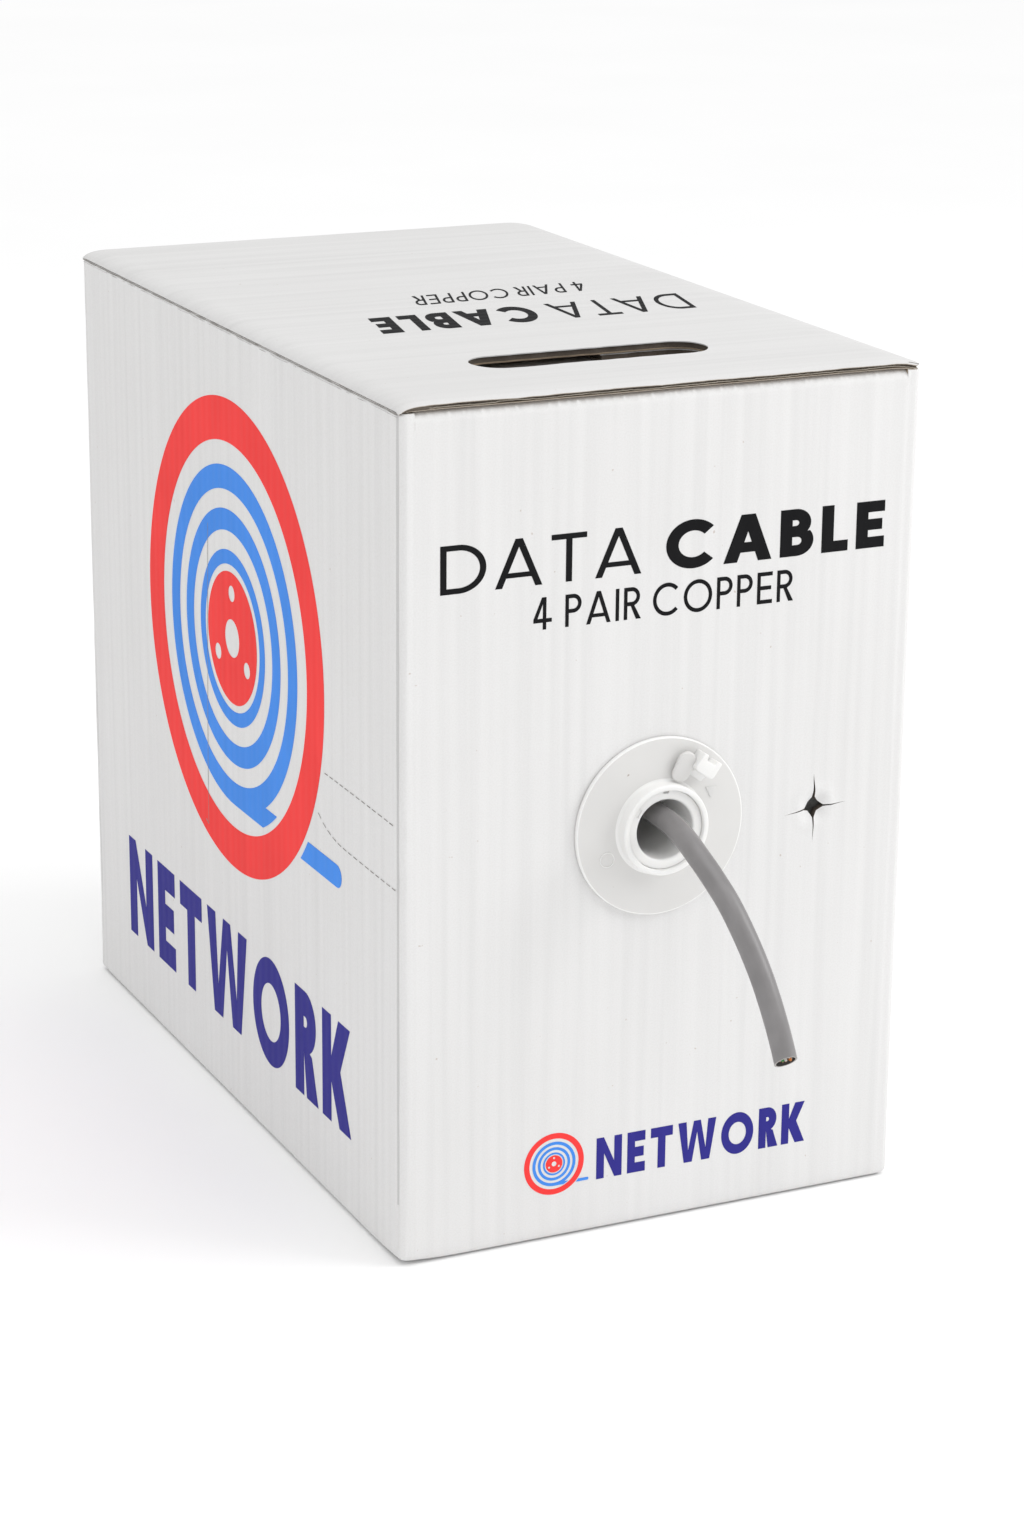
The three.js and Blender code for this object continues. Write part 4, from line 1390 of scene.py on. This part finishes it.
def make_flange():
    """The spout's flange and collar, with the catch on its face and its small moulded marks."""
    body = rounded([
        (COLLAR_BORE, SLEEVE_END, 0), (COLLAR_RADIUS, SLEEVE_END, 0.3), (COLLAR_RADIUS, FLANGE_BACK, 0),
        (FLANGE_RADIUS, FLANGE_BACK, 0.3), (FLANGE_RADIUS, FLANGE_FACE, 0.55),
        (COLLAR_RADIUS, FLANGE_FACE, 1.1), (COLLAR_RADIUS, MOUTH, 0.75), (COLLAR_BORE, MOUTH, 0.6),
    ], 0.5, 5)
    # Faces between these radii take the greyer plastic; the rim outside them keeps the whiter one as a
    # painted highlight along the flange's edge.
    sheet = (COLLAR_RADIUS + 1.2, FLANGE_RADIUS - 0.5)
    disc = turned("spout_disc", body, 144, spout_white, on_flange, spout_sheet, sheet)

    place = flange_place(CATCH_ANGLE)
    near, far, half = CATCH
    notch, prong = far - 2.0, half - 2.2
    outline = rounded([
        (near, -half, 1.5), (far, -half, 0.5), (far, -prong, 0.5), (notch, 0.3 - prong, 0.8),
        (notch, prong - 0.3, 0.8), (far, prong, 0.5), (far, half, 0.5), (near, half, 1.5),
    ], 0.5, 4)
    catch = bevel(prism("catch", outline, -0.5, CATCH_HEIGHT, spout_white, place), 0.6, 4, 50)
    foot = [(22.4, -0.4), (26.6, -0.4), (26.6, 2.8), *arc((23.2, 3.4), 3.0, -12, -86, 8)]
    ramp = bevel(prism("foot", foot, -4.4, 4.4, spout_white, lambda a, b, c: place(a, c, b)), 0.25, 3, 50)

    ring = rounded([(2.75, -0.15), (3.1, -0.15), (3.1, 0.24), (2.75, 0.24)], 0.1, 3)
    x, z = polar(SPOUT, 25.0, 205)
    circle = turned("mark", ring, 40, spout_white, lambda h, u, v: (x + u, FLANGE_FACE - h, z + v))
    triangle = [(23.2, -2.6), (27.6, 0.1), (23.4, 2.7)]
    arrow = bevel(prism("mark", triangle, -0.3, 0.35, spout_sheet, flange_place(29)), 0.15, 2)
    spout = join("spout_body", [disc, catch, ramp, circle, arrow])
    smooth(spout, 40)
    finish_piece(spout, "carton", "white_plastic", "spout_flange")


def make_payout_ring():
    """The turning ring in the collar, with a notch and a shallow step in its face."""
    def along_spout(a, b, c):
        return on_flange(c, a, b)

    front = MOUTH + 1.5
    inner_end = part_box("payout_tube")[1][1] * 1000
    outside, lip = COLLAR_BORE - 0.1, COLLAR_BORE + 1.8
    profile = rounded([
        (TUBE_BORE, inner_end, 0.3), (outside, inner_end, 0.3), (lip, inner_end - 2.5, 0.3),
        (lip, SLEEVE_END + 0.4, 0.2), (outside, SLEEVE_END + 0.4, 0.2), (outside, front, 0.35),
        (TUBE_BORE, front, 0.9),
    ], 0.4, 5)
    tube = turned("payout_ring", profile, 128, spout_white, on_flange)
    notch = [(-1.2, 14.6), (1.2, 14.6), (1.2, 17), (-1.2, 17)]
    carve(tube, prism("notch", notch, front - 1, front + 1.5, core, along_spout))
    step = arc((0, 0), 17, 138, 152, 6) + arc((0, 0), 13.4, 152, 138, 6)
    carve(tube, prism("notch", step, front - 1, front + 0.45, spout_white, along_spout))
    smooth(tube, 35)
    finish_piece(tube, "payout_tube", "white_plastic", "payout_tube")


def make_paddle():
    """The round-ended paddle, which stands off the flange at a slant."""
    on_face = flange_place(PADDLE_ANGLE)
    slope, rise = math.cos(PADDLE_TILT), math.sin(PADDLE_TILT)

    def place(a, b, c):
        return on_face(PADDLE_START + a * slope - c * rise, b, 0.3 + a * rise + c * slope)

    outline = arc((PADDLE_LENGTH - PADDLE_HALF, 0), PADDLE_HALF, -90, 90, 14)
    outline += arc((PADDLE_HALF, 0), PADDLE_HALF, 90, 270, 14)
    paddle = prism("latch_paddle", outline, 0, 1.7, spout_sheet, place)
    bevel(paddle, 0.6, 4)
    finish_piece(paddle, "spout_latch", "white_plastic", "spout_latch")


make_flange()
make_payout_ring()
make_paddle()


# ---------------------------------------------------------------- tear lines and scuffs


# Dark grey for the cuts, slit and cracks on the left wall: painted shade inside them.
cut_painted_shade = Shader("cut_painted_shade", 0.9)
cut_painted_shade.colour(cut_painted_shade.ramp(cut_painted_shade.noise(300), [(0.3, (0.20, 0.185, 0.17)), (0.7, (0.36, 0.345, 0.33))]))


def dash(a, b, width):
    """A pointed stroke from one place to another."""
    along = (b - a).normalized()
    side = Vector((-along.y, along.x)) * width / 2
    points = [a - along * 0.2, a + side, b + side, b + along * 0.3, b - side, a - side]
    return [tuple(point) for point in points]


def dashes(route, length=3.0, gap=1.9, width=0.42):
    """A perforated line along a route."""
    made = []
    path = [point.to_2d() for point in spline([(a, b, 0) for a, b in route], 0.5)]
    distance, start, drawing = 0.0, path[0], True
    for a, b in zip(path, path[1:]):
        distance += (b - a).length
        if drawing and distance >= length:
            made.append(dash(start, b, width))
            drawing, distance = False, 0.0
        elif not drawing and distance >= gap:
            drawing, distance, start = True, 0.0, b
    return made


def on_left_piece(name, outlines, lift):
    obj = flat_shape(name, outlines, cut_painted_shade.material, lambda a, b: on_left(a, b, lift))
    finish_piece(face_out(obj, (-1, 0, 0)), "carton", "white_board")


def make_tear_lines():
    """Two perforated lines, a long slit and its scuff on the left wall, drawn as dark strokes: painted shade
    inside the cuts.
    """
    lines = dashes([(104, 179.4), (135, 179.2), (160, 178.9), (175.5, 178.6)])
    lines += dashes([(97, 161), (104, 157.5), (117, 154.6), (140, 153.9), (175.5, 153.6)])
    slit = [
        (-22.5, 251, 0.3), (-23.6, 230, 0.42), (-25, 200, 0.38), (-26.5, 165, 0.45), (-27.2, 140, 0.4),
        (-27.4, 118, 0.3),
    ]
    lines.append([(x - w / 2, y) for x, y, w in slit] + [(x + w / 2, y) for x, y, w in reversed(slit)])
    lines.append([(-27.5, 118.4), (-30.6, 119.6), (-30.7, 119.2), (-27.4, 117.8)])
    on_left_piece("tear_lines", lines, INK_LIFT + 0.05)


def make_fold_cracks():
    """Broken dark lines where the outer flap's crease starts on the left wall: cracks in the facing, their
    darkness painted shade in the crease.
    """
    cracks = []
    rows = ((LEFT_RIM - 0.1, 0.6, 0.2), (LEFT_RIM - 1.1, 0.28, -0.05))
    for row, (height, widest, spare) in enumerate(rows):
        upper, lower = [], []
        for y in steps(-OUTER_HALF, OUTER_HALF, 1.1):
            middle = height + 0.25 * jitter(y * 0.09, row * 7.0)
            width = widest * (0.45 + 0.75 * jitter(y * 0.13, 3.0 + row)) + spare
            if width > 0.05:
                upper.append((y, middle + width / 2))
                lower.append((y, middle - width / 2))
                continue
            if len(upper) > 1:
                cracks.append(upper + lower[::-1])
            upper, lower = [], []
        if len(upper) > 1:
            cracks.append(upper + lower[::-1])
    on_left_piece("fold_cracks", cracks, 0.06)


make_tear_lines()
make_fold_cracks()


# ---------------------------------------------------------------- inside the carton


def make_winding():
    """The outermost layer of cable on the reel, turn beside turn."""
    half, turns, per_turn = 79.0, 17, 72
    path = []
    for k in range(turns * per_turn + 1):
        angle = math.radians(40) + 2 * math.pi * k / per_turn
        x = -half + 2 * half * k / (turns * per_turn)
        radius = WINDING_RADIUS - CABLE_RADIUS - 0.1 + 0.1 * jitter(k * 0.07)
        path.append(Vector((x, REEL[0] + radius * math.cos(angle), REEL[1] + radius * math.sin(angle))))
    layer = rod("winding_layer", path, CABLE_RADIUS, 12, jacket, 60)
    profile = [(60.3, -83.4), (118, -83.4), (123, -81), (123, 81), (118, 83.4), (60.3, 83.4)]
    heart = turned("winding_heart", profile, 96, jacket, lambda h, u, v: (h, REEL[0] + u, REEL[1] + v))
    winding = join("cable_winding_turns", [layer, heart])
    smooth(winding, 50)
    finish_piece(winding, "reel", "cable_jacket", "cable_winding")


make_winding()

CAD_LOOKS = (
    (kraft, ("saddle_left", "saddle_right", "reel_barrel", "bottom_inner_flap", "bottom_front_flap",
             "bottom_back_flap", "glue_flap")),
    (plywood, ("reel_flange_left", "reel_flange_right")),
    (nylon, ("hub_bushing_left", "hub_bushing_right", "axle_spacer_left", "axle_spacer_right")),
    (steel, ("axle_tube", *(f"tie_{kind}_{i}" for kind in ("bolt", "washer", "nut") for i in (1, 2, 3)))),
    (spout_white, ("spout_retaining_ring",)),
)
for look, names in CAD_LOOKS:
    for name in names:
        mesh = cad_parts[name].data
        mesh.materials.clear()
        mesh.materials.append(look)


# ---------------------------------------------------------------- studio


def make_studio():
    """A pale floor under soft light from above, a key light to the right and a weak one to the left."""
    size, under = 14, -0.0004
    points = [(-size, -size, under), (size, -size, under), (size, size, under), (-size, size, under)]
    mesh = bpy.data.meshes.new("floor")
    mesh.from_pydata(points, [], [(0, 1, 2, 3)])
    floor = bpy.data.objects.new("floor", mesh)
    scene.collection.objects.link(floor)
    paper = Shader("floor_paper", 1.0, Specular_IOR_Level=0.0)
    paper.colour(paper.ramp(paper.noise(3), [(0.3, grey(0.955)), (0.7, grey(0.97))]))
    mesh.materials.append(paper.material)

    world = bpy.data.worlds.new("studio")
    scene.world = world
    world.use_nodes = True
    world.node_tree.nodes["Background"].inputs["Color"].default_value = (1, 1, 1, 1)
    world.node_tree.nodes["Background"].inputs["Strength"].default_value = 0.68

    data = bpy.data.lights.new("ceiling", "SUN")
    data.energy = 0.33 * math.pi
    data.angle = math.radians(55)
    ceiling = bpy.data.objects.new("ceiling", data)
    scene.collection.objects.link(ceiling)
    ceiling.rotation_euler = Vector((0.02, 0.12, -1)).to_track_quat("-Z", "Y").to_euler()

    def softbox(name, place, target, width, height, power):
        data = bpy.data.lights.new(name, "AREA")
        data.shape = "RECTANGLE"
        data.size, data.size_y = width, height
        data.energy = power
        light = bpy.data.objects.new(name, data)
        scene.collection.objects.link(light)
        light.location = place
        aim = Vector(target) - Vector(place)
        light.rotation_euler = aim.to_track_quat("-Z", "Y").to_euler()

    softbox("key", (1.35, -0.95, 1.1), (0, -0.1, 0.17), 1.0, 1.0, 12)
    softbox("fill", (-2.2, -1.0, 1.0), (0, 0, 0.15), 1.6, 1.6, 4)
    scene.view_settings.view_transform = "Standard"


make_studio()
